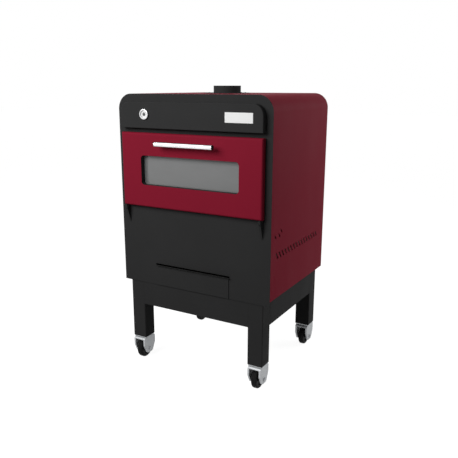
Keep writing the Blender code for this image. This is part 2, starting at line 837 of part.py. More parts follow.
def make_blanket():
    """The insulation over the chamber's sides, top and back."""
    half = chamber_half + BLANKET_SIDE
    low = chamber_low_z - BLANKET_BELOW_CHAMBER
    top = chamber_top_z + BLANKET_TOP
    back = chamber_back_y + BLANKET_BACK
    outer = rectangle((-half, low), (half, top), 0, BLANKET_CORNER)
    blanket = extruded("insulation_blanket", "mineral_wool", [outer], "Y", chamber_front_y, back)
    hollow = box(
        "blanket_cutter",
        None,
        (-chamber_half - GAP, chamber_front_y - OVERRUN, low - OVERRUN),
        (chamber_half + GAP, chamber_back_y + GAP, chamber_top_z + GAP),
    )
    return cut(blanket, hollow, flue_cutter("blanket_flue_cutter", 0))


def rack_ledge_z(index):
    """The top of one pair of ledges."""
    return mouth_low_z + RACK_FIRST_RISE + index * RACK_PITCH


def make_rack(side, sign):
    """A comb of ledges on one side wall of the chamber."""
    wall_x = chamber_inner_half - GAP
    plate_x = wall_x - RACK_PLATE
    ledge_x = plate_x - RACK_LEDGE
    low = mouth_low_z + RACK_FIRST_RISE - RACK_FOOT
    outline = [(wall_x, low), (wall_x, rack_ledge_z(RACK_LEDGE_COUNT - 1) + RACK_FOOT)]
    outline.append((plate_x, outline[1][1]))
    for index in reversed(range(RACK_LEDGE_COUNT)):
        top = rack_ledge_z(index)
        under = top - RACK_LEDGE_THICKNESS
        outline += [(plate_x, top), (ledge_x, top), (ledge_x, under), (plate_x, under)]
    outline.append((plate_x, low))
    outline = [(sign * x, z) for x, z in outline]
    return extruded(f"rack_runner_{side}", "brushed_steel", [outline], "Y", rack_front_y, rack_back_y)


def make_grid(level, ledge):
    """A cooking grid on one pair of ledges."""
    half = chamber_inner_half - GAP - RACK_PLATE - GRID_SIDE_CLEARANCE
    grid_back_y = rack_back_y - GRID_BACK_CLEARANCE
    outlines = slotted(
        (-half, rack_front_y), (half, grid_back_y), GRID_BORDER, GRID_BAR_GAP, GRID_BAR_WIDTH, 1
    )
    low = rack_ledge_z(ledge) + GAP
    return extruded(f"cooking_grid_{level}", "brushed_steel", outlines, "Z", low, low + GRID_THICKNESS)


def make_flue():
    """The flange on the jacket's top and the collar that passes through it to the chamber."""
    flange_z = jacket_top_z + GAP
    bore = FLUE_RADIUS + GAP
    flange = turned(
        "flue_flange",
        "black_paint",
        [
            (bore, FLUE_FLANGE_THICKNESS),
            (FLUE_FLANGE_RADIUS, FLUE_FLANGE_THICKNESS),
            (FLUE_FLANGE_RADIUS, 0),
            (bore, 0),
        ],
        (0, flue_y, flange_z),
        ring=True,
    )
    length = jacket_top_z + FLUE_RISE - chamber_top_z - GAP
    inner = FLUE_RADIUS - FLUE_WALL
    collar = turned(
        "flue_collar",
        "black_paint",
        [(inner, length), (FLUE_RADIUS, length), (FLUE_RADIUS, 0), (inner, 0)],
        (0, flue_y, chamber_top_z + GAP),
        ring=True,
    )
    return flange, collar


def ring_outline(half, low_z, high_z, radius):
    return rectangle((-half, low_z), (half, high_z), radius, radius)


def window_outline(margin=0):
    """The window's opening, or an outline a margin outside it."""
    return ring_outline(
        window_half + margin, window_low_z - margin, window_top_z + margin, WINDOW_CORNER + margin
    )


def plug_outline(margin=0):
    """The door plug's outside, or an outline a margin outside it."""
    return ring_outline(plug_half + margin, plug_low_z - margin, plug_top_z + margin, PLUG_CORNER)


def make_door_panels():
    """The pan, its rear frame with the plug, the jamb, the glass, the boards and the seal."""
    low = Vector((-door_half, door_face_y, door_low_z))
    high = Vector((door_half, door_back_y, door_top_z))
    wall = Vector((DOOR_WALL, DOOR_WALL, DOOR_WALL))
    skin = box("door_skin", "red_enamel", low, high, DOOR_EDGE)
    inner_high = high - wall
    inner_high.y = door_back_y + OVERRUN
    hollow = box("door_cutter", None, low + wall, inner_high, DOOR_EDGE - DOOR_WALL)
    opening = extruded(
        "window_cutter", None, [window_outline()], "Y", door_face_y - OVERRUN, door_face_y + DOOR_EDGE
    )
    smooth(cut(skin, hollow, opening))

    inside = DOOR_WALL + GAP
    pan_low = (-door_half + inside, door_low_z + inside)
    pan_high = (door_half - inside, door_top_z - inside)
    flange_y = door_back_y - DOOR_WALL
    frame = extruded("door_frame", "dark_steel", [rectangle(pan_low, pan_high)], "Y", flange_y, door_back_y)
    plug = extruded("plug_joiner", None, [plug_outline()], "Y", flange_y + DOOR_WALL / 2, plug_back_y)
    well = extruded(
        "plug_cutter",
        None,
        [plug_outline(-DOOR_WALL)],
        "Y",
        flange_y - OVERRUN,
        plug_back_y - DOOR_WALL,
    )
    sight = extruded("sight_cutter", None, [window_outline()], "Y", flange_y, plug_back_y + OVERRUN)
    join(frame, plug)
    cut(frame, well, sight)

    jamb_y = door_face_y + DOOR_WALL + GAP
    web_back_y = glass_y - GAP
    jamb = extruded(
        "window_jamb", "black_paint", [window_outline(JAMB_WALL), window_outline()], "Y", jamb_y, web_back_y
    )
    web_outline = plug_outline(-DOOR_WALL - GAP)
    web = extruded(
        "jamb_web_joiner",
        None,
        [web_outline, window_outline(JAMB_WALL / 2)],
        "Y",
        web_back_y - JAMB_WALL,
        web_back_y,
    )
    smooth(join(jamb, web))

    board = extruded(
        "door_insulation",
        "mineral_wool",
        [rectangle(pan_low, pan_high), window_outline(JAMB_WALL + GAP)],
        "Y",
        door_face_y + DOOR_EDGE,
        flange_y - GAP,
    )
    glass = extruded(
        "door_glass",
        "glass",
        [window_outline(GLASS_OVERLAP)],
        "Y",
        glass_y,
        glass_y + GLASS_THICKNESS,
    )
    plug_board = extruded(
        "plug_insulation",
        "mineral_wool",
        [web_outline, window_outline(GAP)],
        "Y",
        glass_y + GLASS_THICKNESS + GAP,
        plug_back_y - DOOR_WALL - GAP,
    )
    inner_margin = MOUTH_CLEARANCE + SEAL_MARGIN
    seal = extruded(
        "door_rope_seal",
        "rope",
        [plug_outline(inner_margin + SEAL_WIDTH), plug_outline(inner_margin)],
        "Y",
        door_back_y + GAP,
        front_y - GAP,
    )
    return [skin, frame, jamb, board, glass, plug_board, seal]


def make_handle():
    """The tubular bar with its end caps on two posts."""
    bar_half = HANDLE_LENGTH / 2 - HANDLE_CAP_LENGTH - GAP
    curve = bpy.data.curves.new("handle_bar", "CURVE")
    curve.dimensions = "3D"
    curve.bevel_depth = HANDLE_RADIUS
    curve.bevel_resolution = 5
    curve.use_fill_caps = True
    spline = curve.splines.new("POLY")
    spline.points.add(1)
    spline.points[0].co = (-bar_half, 0, 0, 1)
    spline.points[1].co = (bar_half, 0, 0, 1)
    guide = bpy.data.objects.new("handle_bar", curve)
    guide.location = (0, handle_y, handle_z)
    bar = smooth(solid_of_curve(guide, "polished_steel"))

    stud = HANDLE_CAP_LENGTH - HANDLE_CAP_STUD_LENGTH
    profile = [
        (0, HANDLE_CAP_LENGTH),
        (HANDLE_CAP_STUD_RADIUS, HANDLE_CAP_LENGTH),
        (HANDLE_CAP_STUD_RADIUS, stud),
        (HANDLE_RADIUS, stud),
        (HANDLE_RADIUS, 0),
        (0, 0),
    ]
    post_length = HANDLE_REACH - HANDLE_RADIUS - 2 * GAP
    post_y = door_face_y - GAP - post_length / 2
    pieces = [bar]
    for side, sign in SIDES:
        place = (sign * (bar_half + GAP), handle_y, handle_z)
        cap = turned(f"handle_end_cap_{side}", "black_plastic", profile, place, "X")
        cap.rotation_euler = (0, sign * QUARTER, 0)
        place = (sign * POST_SPACING / 2, post_y, handle_z)
        post = rod(f"handle_post_{side}", "brushed_steel", POST_RADIUS, post_length, place, "Y")
        pieces += [cap, post]
    return pieces


def lug_outline():
    """The gusset in a side view: a point at the bottom, a sloped front and a rounded knuckle."""
    back = front_y - GAP
    tip = Vector((back, hinge_z - LUG_LENGTH))
    centre = Vector((hinge_y, hinge_z))
    away = tip - centre
    reach = math.acos(KNUCKLE_RADIUS / away.length)
    start = math.atan2(away.y, away.x) - reach
    knuckle = arc(centre, KNUCKLE_RADIUS, start, -math.pi * 3 / 2)
    return [tip, *knuckle, Vector((back, hinge_z + KNUCKLE_RADIUS))]


def make_lug(side, sign):
    """A folded gusset that carries a hinge pin between its two cheeks."""
    outline = lug_outline()
    tip = outline[0]
    tangent = outline[1]
    middle = sign * lug_middle_x
    half = LUG_WIDTH / 2
    lug = extruded(f"hinge_lug_{side}", "black_paint", [outline], "X", middle - half, middle + half)
    slope = (tangent - tip).normalized()
    inward = Vector((-slope.y, slope.x))
    if inward.x < 0:
        inward = -inward
    web_top = hinge_z - KNUCKLE_RADIUS - LUG_WEB_CLEARANCE
    run = (web_top - tip.y) / slope.y
    above = hinge_z + KNUCKLE_RADIUS + OVERRUN
    start = tip + inward * LUG_WEB
    pocket = [
        start,
        start + slope * run,
        Vector((hinge_y - KNUCKLE_RADIUS - OVERRUN, web_top)),
        Vector((hinge_y - KNUCKLE_RADIUS - OVERRUN, above)),
        Vector((front_y + OVERRUN, above)),
        Vector((front_y + OVERRUN, start.y)),
    ]
    inner = half - LUG_CHEEK
    well = extruded(f"lug_cutter_{side}", None, [pocket], "X", middle - inner, middle + inner)
    cut(lug, well)
    profile = [
        (0, half - LUG_CHEEK / 2),
        (HINGE_PIN_RADIUS, half - LUG_CHEEK / 2),
        (HINGE_PIN_RADIUS, -half),
        (HINGE_PIN_HEAD_RADIUS, -half),
        (HINGE_PIN_HEAD_RADIUS, -half - HINGE_PIN_HEAD_LENGTH),
        (0, -half - HINGE_PIN_HEAD_LENGTH),
    ]
    place = (middle, hinge_y, hinge_z)
    pin = turned(f"hinge_pin_joiner_{side}", None, profile, place, "X", SMALL_TURN_STEPS)
    pin.rotation_euler = (0, sign * QUARTER, 0)
    return join(lug, pin)


def make_leaf(side, sign):
    """A leaf under the door that turns on a hinge pin between the lug's cheeks."""
    middle = sign * lug_middle_x
    half = LUG_WIDTH / 2 - LUG_CHEEK - RUNNING_GAP
    top = door_low_z - GAP
    points = [Vector((hinge_y + KNUCKLE_RADIUS, top)), Vector((hinge_y - KNUCKLE_RADIUS, top))]
    points += arc((hinge_y, hinge_z), KNUCKLE_RADIUS, math.pi, math.tau)
    bore = circle((hinge_y, hinge_z), HINGE_PIN_RADIUS + RUNNING_GAP)
    name = f"door_hinge_leaf_{side}"
    return extruded(name, "dark_steel", [points, bore], "X", middle - half, middle + half)


def make_drawer():
    """The ash drawer's front with its folded lip, and the tray behind it."""
    half = DRAWER_WIDTH / 2
    lip_half = DRAWER_LIP_WIDTH / 2
    low = body_z - DRAWER_SKIRT
    back_y = front_y - GAP
    lip_z = drawer_top_z - DRAWER_LIP_THICKNESS
    top = lip_z + DRAWER_LIP_THICKNESS / 2
    low_corner = (-half, front_y - DRAWER_PROUD, low)
    front = box("ash_drawer_front", "black_paint", low_corner, (half, back_y, top))
    low_corner = (-lip_half, front_y - DRAWER_LIP, lip_z)
    lip = box("drawer_lip_joiner", None, low_corner, (lip_half, back_y, drawer_top_z))
    join(front, lip)
    tray_low = floor_plate_z + TRAY_RISE
    tray_top = tray_low + TRAY_HEIGHT
    tray_back = front_y + TRAY_LENGTH
    low_corner = (-tray_half, front_y, tray_low)
    tray = box("ash_drawer_tray", "dark_steel", low_corner, (tray_half, tray_back, tray_top))
    flange_half = tray_half + TRAY_FLANGE
    flange = box(
        "tray_flange_joiner",
        None,
        (-flange_half, front_y, tray_top - TRAY_WALL),
        (flange_half, tray_back, tray_top),
    )
    hollow = box(
        "tray_cutter",
        None,
        (-tray_half + TRAY_WALL, front_y + TRAY_WALL, tray_low + TRAY_WALL),
        (tray_half - TRAY_WALL, tray_back - TRAY_WALL, tray_top + OVERRUN),
    )
    join(tray, flange)
    cut(tray, hollow)
    return front, tray


def make_drawer_rail(side, sign):
    """A channel under one flange of the ash tray."""
    inner = tray_half + RAIL_CLEARANCE
    outer = inner + RAIL_WIDTH
    low = floor_plate_z + GAP
    top = floor_plate_z + TRAY_RISE + TRAY_HEIGHT - TRAY_WALL - GAP
    outline = [
        (inner, low),
        (outer, low),
        (outer, top),
        (inner, top),
        (inner, top - RAIL_WALL),
        (outer - RAIL_WALL, top - RAIL_WALL),
        (outer - RAIL_WALL, low + RAIL_WALL),
        (inner, low + RAIL_WALL),
    ]
    outline = [(sign * x, z) for x, z in outline]
    start = fascia_back_y + GAP
    return extruded(f"drawer_rail_{side}", "brushed_steel", [outline], "Y", start, start + RAIL_LENGTH)


def leg_place(end, side):
    """The middle of a leg in plan; end and side are -1 or 1."""
    x = side * (base_half - LEG_SIZE / 2)
    y = base_front_y + LEG_SIZE / 2 if end < 0 else base_back_y - LEG_SIZE / 2
    return x, y


def make_leg(name, x, y):
    half = LEG_SIZE / 2
    inner = half - LEG_WALL
    outlines = [
        rectangle((x - half, y - half), (x + half, y + half), LEG_CORNER, LEG_CORNER),
        rectangle((x - inner, y - inner), (x + inner, y + inner)),
    ]
    return smooth(extruded(f"leg_{name}", "black_paint", outlines, "Z", leg_end_z, body_z - GAP))


def channel(front, back, low, top, wall):
    """A C outline that opens towards back, which may lie on either side of front."""
    inner = front + math.copysign(wall, back - front)
    return [
        (front, low),
        (back, low),
        (back, low + wall),
        (inner, low + wall),
        (inner, top - wall),
        (back, top - wall),
        (back, top),
        (front, top),
    ]


def make_aprons():
    """Four channels between the legs, flush with their outer faces."""
    low = body_z - APRON_HEIGHT
    top = body_z - GAP
    reach = base_half - LEG_SIZE - GAP
    ends = {"front": (base_front_y, 1), "rear": (base_back_y, -1)}
    for name, (face, inward) in ends.items():
        outline = channel(face, face + inward * APRON_FLANGE, low, top, APRON_WALL)
        extruded(f"apron_{name}", "black_paint", [outline], "X", -reach, reach)
    start = base_front_y + LEG_SIZE + GAP
    end = base_back_y - LEG_SIZE - GAP
    for name, sign in SIDES:
        outline = channel(sign * base_half, sign * (base_half - APRON_FLANGE), low, top, APRON_WALL)
        extruded(f"apron_{name}", "black_paint", [outline], "Y", start, end)


def make_caster_head(name, x, y):
    """A plate under the leg with its bearing race and kingpin in one piece."""
    plate_low = leg_end_z - GAP - HEAD_PLATE_THICKNESS
    half = HEAD_PLATE_SIZE / 2
    low = (x - half, y - half, plate_low)
    plate = box(f"caster_head_{name}", "zinc", low, (x + half, y + half, leg_end_z - GAP))
    crown_low = plate_low - RACE_HEIGHT - GAP - FORK_CROWN
    under = crown_low - GAP - plate_low
    profile = [
        (0, HEAD_PLATE_THICKNESS / 2),
        (RACE_RADIUS, HEAD_PLATE_THICKNESS / 2),
        (RACE_RADIUS, -RACE_HEIGHT),
        (KINGPIN_RADIUS, -RACE_HEIGHT),
        (KINGPIN_RADIUS, under),
        (KINGPIN_HEAD_RADIUS, under),
        (KINGPIN_HEAD_RADIUS, under - KINGPIN_HEAD_LENGTH),
        (0, under - KINGPIN_HEAD_LENGTH),
    ]
    race = turned(f"race_joiner_{name}", None, profile, (x, y, plate_low), "Z", SMALL_TURN_STEPS)
    return join(plate, race)


def make_fork(name, x, y):
    """The caster's fork: a crown and two cheeks that taper down to the axle."""
    top = leg_end_z - HEAD_PLATE_THICKNESS - RACE_HEIGHT - 2 * GAP
    shoulder = top - FORK_STRAIGHT_DROP
    foot = WHEEL_RADIUS - FORK_FOOT_BELOW_AXLE
    half = FORK_LENGTH / 2
    foot_half = FORK_FOOT_LENGTH / 2
    outline = rounded(
        [
            (y - foot_half, foot, FORK_FOOT_RADIUS),
            (y + foot_half, foot, FORK_FOOT_RADIUS),
            (y + half, shoulder, FORK_SHOULDER),
            (y + half, top, FORK_SHOULDER),
            (y - half, top, FORK_SHOULDER),
            (y - half, shoulder, FORK_SHOULDER),
        ]
    )
    fork = extruded(f"caster_fork_{name}", "zinc", [outline], "X", x - FORK_WIDTH / 2, x + FORK_WIDTH / 2)
    slot = box(
        f"fork_cutter_{name}",
        None,
        (x - FORK_OPENING / 2, y - half - OVERRUN, foot - OVERRUN),
        (x + FORK_OPENING / 2, y + half + OVERRUN, top - FORK_CROWN),
    )
    pin_bore = rod(
        f"kingpin_bore_{name}",
        None,
        KINGPIN_RADIUS + RUNNING_GAP,
        FORK_CROWN + 2 * OVERRUN,
        (x, y, top - FORK_CROWN / 2),
        "Z",
    )
    cut(fork, slot, pin_bore)
    return smooth(join(fork, make_axle(name, x, y)))


def make_wheel(name, x, y):
    """A wheel with a hub, a web and a tyre with rounded shoulders, standing on a flat facet."""
    bore = AXLE_RADIUS + RUNNING_GAP
    hub = FORK_OPENING / 2 - RUNNING_GAP
    web = WEB_WIDTH / 2
    tyre = TYRE_WIDTH / 2
    half = [(bore, hub), (HUB_RADIUS, hub), (HUB_RADIUS, web), (RIM_RADIUS, web), (RIM_RADIUS, tyre)]
    half_facet = math.pi / WHEEL_STEPS
    shoulder = (WHEEL_RADIUS / math.cos(half_facet) - TYRE_SHOULDER, tyre - TYRE_SHOULDER)
    half += arc(shoulder, TYRE_SHOULDER, QUARTER, 0, SHOULDER_STEPS)
    profile = half + [(radius, -height) for radius, height in reversed(half)]
    place = (x, y, WHEEL_RADIUS)
    return turned(f"caster_wheel_{name}", "rubber", profile, place, "X", WHEEL_STEPS, True, half_facet)


def make_axle(name, x, y):
    """The bolt through the fork's cheeks, with its head and nut outside them."""
    half = FORK_WIDTH / 2
    end = half + AXLE_HEAD_LENGTH
    profile = [
        (0, end),
        (AXLE_HEAD_RADIUS, end),
        (AXLE_HEAD_RADIUS, half),
        (AXLE_RADIUS, half),
        (AXLE_RADIUS, -half),
        (AXLE_HEAD_RADIUS, -half),
        (AXLE_HEAD_RADIUS, -end),
        (0, -end),
    ]
    return turned(f"axle_joiner_{name}", None, profile, (x, y, WHEEL_RADIUS), "X", SMALL_TURN_STEPS)


def make_base():
    """Legs, aprons and casters. Each fork turns on an empty under its leg."""
    make_aprons()
    for end_name, end in (("front", -1), ("rear", 1)):
        for side_name, side in SIDES:
            name = f"{end_name}_{side_name}"
            x, y = leg_place(end, side)
            make_leg(name, x, y)
            make_caster_head(name, x, y)
            fork = make_fork(name, x, y)
            wheel = make_wheel(name, x, y)
            swivel = empty(f"caster_axis_{name}", (x, y, leg_end_z))
            spin = empty(f"wheel_axis_{name}", (x, y, WHEEL_RADIUS), swivel)
            carry(swivel, fork)
            carry(spin, wheel)


def make_door():
    """Everything that drops with the door, on an empty at its hinge."""
    hinge = empty("door_hinge_axis", (0, hinge_y, hinge_z))
    leaves = [make_leaf(side, sign) for side, sign in SIDES]
    carry(hinge, *leaves, *make_door_panels(), *make_handle())


def main():
    clear_scene()
    make_jacket()
    make_fascia()
    make_control_panel()
    make_name_plate()
    make_thermometer()
    make_rear_and_floor()
    make_chamber()
    make_hopper()
    make_grate()
    make_blanket()
    make_flue()
    for side, sign in SIDES:
        make_rack(side, sign)
        make_drawer_rail(side, sign)
        make_lug(side, sign)
    make_grid("lower", LOWER_GRID_LEDGE)
    make_grid("upper", UPPER_GRID_LEDGE)
    make_door()
    slide = empty("ash_drawer_axis", (0, front_y, floor_plate_z))
    carry(slide, *make_drawer())
    make_base()


main()
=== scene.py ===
"""Detailed pieces and finishes for a charcoal oven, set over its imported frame."""

import math

import bmesh
import bpy
from bpy.props import FloatProperty, FloatVectorProperty, IntProperty, PointerProperty
from mathutils import Matrix, Vector


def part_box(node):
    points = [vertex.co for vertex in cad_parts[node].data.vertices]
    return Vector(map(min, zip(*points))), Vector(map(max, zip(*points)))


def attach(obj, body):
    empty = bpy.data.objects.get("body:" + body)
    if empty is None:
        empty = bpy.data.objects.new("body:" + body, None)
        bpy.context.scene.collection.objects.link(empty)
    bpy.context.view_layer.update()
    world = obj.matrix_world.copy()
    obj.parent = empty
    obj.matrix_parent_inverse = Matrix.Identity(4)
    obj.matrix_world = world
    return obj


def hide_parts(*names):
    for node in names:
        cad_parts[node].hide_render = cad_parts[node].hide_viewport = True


bl_info = {
    "name": "Charcoal oven",
    "version": (1, 0, 0),
    "blender": (4, 5, 0),
    "location": "3D View > Sidebar > Oven",
    "description": "Models the sheet metal, door, dial, casters and finishes of a charcoal oven",
    "category": "Add Mesh",
}

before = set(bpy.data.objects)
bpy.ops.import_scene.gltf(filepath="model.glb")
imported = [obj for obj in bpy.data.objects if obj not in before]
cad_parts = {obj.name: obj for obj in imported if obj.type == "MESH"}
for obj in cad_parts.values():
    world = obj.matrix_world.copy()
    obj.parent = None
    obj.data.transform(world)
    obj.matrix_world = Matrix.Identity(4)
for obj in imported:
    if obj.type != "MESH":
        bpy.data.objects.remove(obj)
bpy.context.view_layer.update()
SIDES = {"left": -1, "right": 1}
CORNERS = ("front_left", "front_right", "rear_left", "rear_right")
WELD = 0.00001
SCREW_CROWN = 0.003
X, Y, Z = Vector((1, 0, 0)), Vector((0, 1, 0)), Vector((0, 0, 1))


# Settings


def length(name, description, default):
    return FloatProperty(name=name, description=description, default=default, min=0, unit="LENGTH")


def colour(name, description, default):
    return FloatVectorProperty(
        name=name, description=description, default=default, subtype="COLOR", size=3, min=0, max=1
    )


class OvenBodySizes(bpy.types.PropertyGroup):
    """Sizes of the sheet metal body."""

    jacket_corner: length("Jacket corner", "Outer radius along the jacket's top edges", 0.080)
    jacket_wall: length("Jacket wall", "Thickness of the jacket's sheet", 0.002)
    sheet_edge: length("Sheet edge", "Rounding of a cut sheet's rim", 0.0006)
    panel_corner: length("Panel corner", "Radius of the control panel's top corners", 0.055)
    panel_edge: length("Panel edge", "Rounding round the control panel's face", 0.004)
    mouth_corner: length("Mouth corner", "Radius of the oven mouth's corners", 0.010)
    mouth_margin: length("Mouth margin", "From the jamb's web to the oven mouth", 0.0083)
    drawer_slot: length("Drawer slot", "Top of the finger slot, over the drawer's lip", 0.0025)
    lip_rise: length("Lip rise", "Rise of the drawer's lip towards its edge", 0.0095)
    lip_lift: length("Lip lift", "Lip's edge, over the top of the frame's drawer", 0.0015)
    vent_count: IntProperty(name="Vents", description="Vents in a side's row", default=16, min=1)
    vent_pitch: length("Vent pitch", "Distance between two vents of a row", 0.0348)
    vent_setback: length("Vent setback", "First vent, from the front plate", 0.075)
    vent_rise: length("Vent rise", "Row of vents, over the jacket's lower edge", 0.221)
    vent_length: length("Vent length", "Length of a vent over its round ends", 0.0420)
    vent_width: length("Vent width", "Width of a vent", 0.0098)
    vent_slant: FloatProperty(
        name="Vent slant", description="Lean of the vents", default=math.radians(-50), subtype="ANGLE"
    )
    small_vent_length: length("Small vent length", "Length of a small vent", 0.026)
    small_vent_width: length("Small vent width", "Width of a small vent", 0.0085)
    screw_head: length("Screw head", "Radius of a pan head screw", 0.0042)


class OvenDoorSizes(bpy.types.PropertyGroup):
    """Sizes of the door and its handle."""

    edge: length("Door edge", "Rounding round the door's outer pan", 0.012)
    wall: length("Door wall", "Thickness of the door's sheet", 0.002)
    window_corner: length("Window corner", "Radius of the window's corners", 0.018)
    plug_corner: length("Plug corner", "Radius of the inner pan's corners", 0.010)


class OvenDialSizes(bpy.types.PropertyGroup):
    """Sizes on the thermometer."""

    tick_count: IntProperty(name="Ticks", description="Ticks round the dial", default=31, min=2)
    tick_length: length("Tick length", "Length of a long tick", 0.0020)
    tick_width: length("Tick width", "Width of a long tick", 0.00030)
    sweep: FloatProperty(
        name="Sweep",
        description="Angle from the first tick to the last",
        default=math.radians(270),
        subtype="ANGLE",
    )
    figure_height: length("Figure height", "Height of the dial's numbers", 0.0030)
    figure_depth: length("Figure depth", "Thickness of the figures", 0.0001)
    hub: length("Hub", "Radius of the cap on the needle's hub", 0.0084)


class OvenCasterSizes(bpy.types.PropertyGroup):
    """Sizes of the casters."""

    tyre_shoulder: length("Tyre shoulder", "Rounding of a tyre's shoulders", 0.009)
    groove: length("Tread groove", "Depth of the two grooves round a tyre", 0.0012)
    fork_edge: length("Fork edge", "Rounding of a fork's edges", 0.00055)
    plate_corner: length("Plate corner", "Radius of a top plate's corners", 0.006)


class OvenColours(bpy.types.PropertyGroup):
    """Colours of the finishes."""

    red: colour("Red enamel", "Jacket and door", (0.226, 0.0108, 0.0275))
    black: colour("Black paint", "Front, base and flue", (0.0330, 0.0330, 0.0333))
    zinc: colour("Zinc", "Caster forks and plates", (0.57, 0.585, 0.60))
    steel: colour("Brushed steel", "Grids, racks and fittings", (0.55, 0.55, 0.55))
    bright: colour("Polished steel", "Handle and bezel", (0.80, 0.80, 0.81))
    hot_steel: colour("Hot steel", "Chamber and inner door", (0.090, 0.084, 0.078))
    iron: colour("Cast iron", "Charcoal grate", (0.045, 0.043, 0.042))
    rubber: colour("Rubber", "Tyres", (0.012, 0.012, 0.0125))
    plastic: colour("Black plastic", "End caps and wheel centres", (0.014, 0.014, 0.015))
    glass: colour("Glass", "Tinted ceramic glass", (0.204, 0.207, 0.207))
    white: colour("White enamel", "Dial and plate", (0.90, 0.90, 0.895))
    ink: colour("Ink", "Figures and ticks", (0.10, 0.10, 0.105))
    wool: colour("Mineral wool", "Insulation", (0.15, 0.135, 0.11))
    rope: colour("Glass rope", "Door seal", (0.36, 0.35, 0.33))


class OvenStudio(bpy.types.PropertyGroup):
    """Camera and light."""

    lens: FloatProperty(name="Lens", description="Focal length in millimetres", default=45.37)
    key: FloatProperty(name="Key", description="Power of the front light", default=107, unit="POWER")
    fill: FloatProperty(name="Fill", description="Power of the light from behind", default=47.5, unit="POWER")
    sky: FloatProperty(name="Sky", description="Light from all round on matt surfaces", default=0.11)
    floor: colour("Floor", "Floor under the oven", (0.35, 0.35, 0.35))


# Shader nodes


class Wire:
    """One output of a shader node. Sums on it add the nodes that work them out."""

    def __init__(self, tree, socket):
        self.tree = tree
        self.socket = socket

    def _sum(self, operation, first, second, clamp=False):
        node = self.tree.nodes.new("ShaderNodeMath")
        node.operation = operation
        node.use_clamp = clamp
        for socket, value in zip(node.inputs, (first, second)):
            if isinstance(value, Wire):
                self.tree.links.new(value.socket, socket)
            else:
                socket.default_value = value
        return Wire(self.tree, node.outputs[0])

    def __add__(self, other):
        return self._sum("ADD", self, other)

    def __radd__(self, other):
        return self._sum("ADD", other, self)

    def __sub__(self, other):
        return self._sum("SUBTRACT", self, other)

    def __rsub__(self, other):
        return self._sum("SUBTRACT", other, self)

    def __mul__(self, other):
        return self._sum("MULTIPLY", self, other)

    def above(self, limit, slope):
        """0 below a limit and 1 over it, with a soft edge."""
        return self._sum("MULTIPLY", self - limit, slope, clamp=True)


class Finish:
    """A material in the making: one shader and the nodes that vary it."""

    def __init__(self, name, **constants):
        self.material = bpy.data.materials.new(name)
        self.material.use_nodes = True
        self.tree = self.material.node_tree
        self.tree.nodes.clear()
        values = {key.replace("_", " ").title().replace("Ior", "IOR"): v for key, v in constants.items()}
        self.shader = self.node("ShaderNodeBsdfPrincipled", {}, values)
        self.node("ShaderNodeOutputMaterial", {}, {"Surface": self.wire(self.shader, "BSDF")})

    def node(self, kind, options, values):
        """A node of one kind, with its options and then its sockets."""
        node = self.tree.nodes.new(kind)
        for key, value in options.items():
            if key == "stops":
                self._stops(node.color_ramp, value)
            else:
                setattr(node, key, value)
        for key, value in values.items():
            if isinstance(value, Wire):
                self.tree.links.new(value.socket, node.inputs[key])
            else:
                node.inputs[key].default_value = value
        return node

    def _stops(self, ramp, stops):
        while len(ramp.elements) < len(stops):
            ramp.elements.new(1)
        for element, (place, tint) in zip(ramp.elements, stops):
            element.position = place
            element.color = (*tint, 1)

    def wire(self, node, output=0):
        return Wire(self.tree, node.outputs[output])

    def place(self, stretch=(1, 1, 1), turn=(0, 0, 0)):
        """Places on the object, stretched and turned."""
        start = self.node("ShaderNodeTexCoord", {}, {})
        values = {"Vector": self.wire(start, "Object"), "Scale": stretch, "Rotation": turn}
        return self.wire(self.node("ShaderNodeMapping", {}, values))

    def noise(self, scale, detail=3, stretch=(1, 1, 1), roughness=0.55):
        values = {"Vector": self.place(stretch), "Scale": scale, "Detail": detail, "Roughness": roughness}
        return self.wire(self.node("ShaderNodeTexNoise", {}, values), "Fac")

    def cells(self, scale, stretch=(1, 1, 1)):
        values = {"Vector": self.place(stretch), "Scale": scale}
        return self.wire(self.node("ShaderNodeTexVoronoi", {"feature": "F1"}, values), "Distance")

    def waves(self, scale, turn=(0, 0, 0), distortion=0, direction="X"):
        values = {"Vector": self.place(turn=turn), "Scale": scale, "Distortion": distortion}
        options = {"wave_type": "BANDS", "bands_direction": direction}
        return self.wire(self.node("ShaderNodeTexWave", options, values), "Fac")

    def mix(self, mask, low, high):
        """A colour between two colours."""
        values = {0: mask, 6: low, 7: high}
        node = self.node("ShaderNodeMix", {"data_type": "RGBA"}, values)
        return self.wire(node, 2)

    def vary(self, mask, tone, low, high):
        """A tone made darker or lighter where a mask is low or high."""
        return self.mix(mask, shade(tone, low), shade(tone, high))

    def ramp(self, value, stops):
        return self.wire(self.node("ShaderNodeValToRGB", {"stops": stops}, {0: value}), "Color")

    def feed(self, base=None, roughness=None, metallic=None, alpha=None, relief=None, depth=0.0001):
        """Leads the varying values into the shader; relief is a height in shares of depth."""
        links = {"Base Color": base, "Roughness": roughness, "Metallic": metallic, "Alpha": alpha}
        for key, value in links.items():
            if value is not None:
                self.tree.links.new(value.socket, self.shader.inputs[key])
        if relief is not None:
            bump = self.node("ShaderNodeBump", {}, {"Height": relief, "Distance": depth, "Strength": 1})
            self.tree.links.new(bump.outputs[0], self.shader.inputs["Normal"])
        return self.material


def shade(tone, factor):
    """A colour made lighter or darker by one factor."""
    return (*(min(1, part * factor) for part in tone), 1)


def enamel(name, tone):
    """Sprayed enamel: a faint orange peel, slight clouding and soft smears in its gloss."""
    made = Finish(name, specular_ior_level=0.028)
    cloud = made.noise(2.6, 4)
    peel = made.noise(420, 2)
    smear = made.noise(9, 5, (1, 1, 0.25), 0.65)
    dust = made.noise(900, 1).above(0.66, 12)
    base = made.vary(cloud, tone, 0.93, 1.07)
    base = made.mix(dust * 0.10, base, shade(tone, 2.2))
    return made.feed(base, 0.50 + smear * 0.16, relief=peel, depth=0.00005)


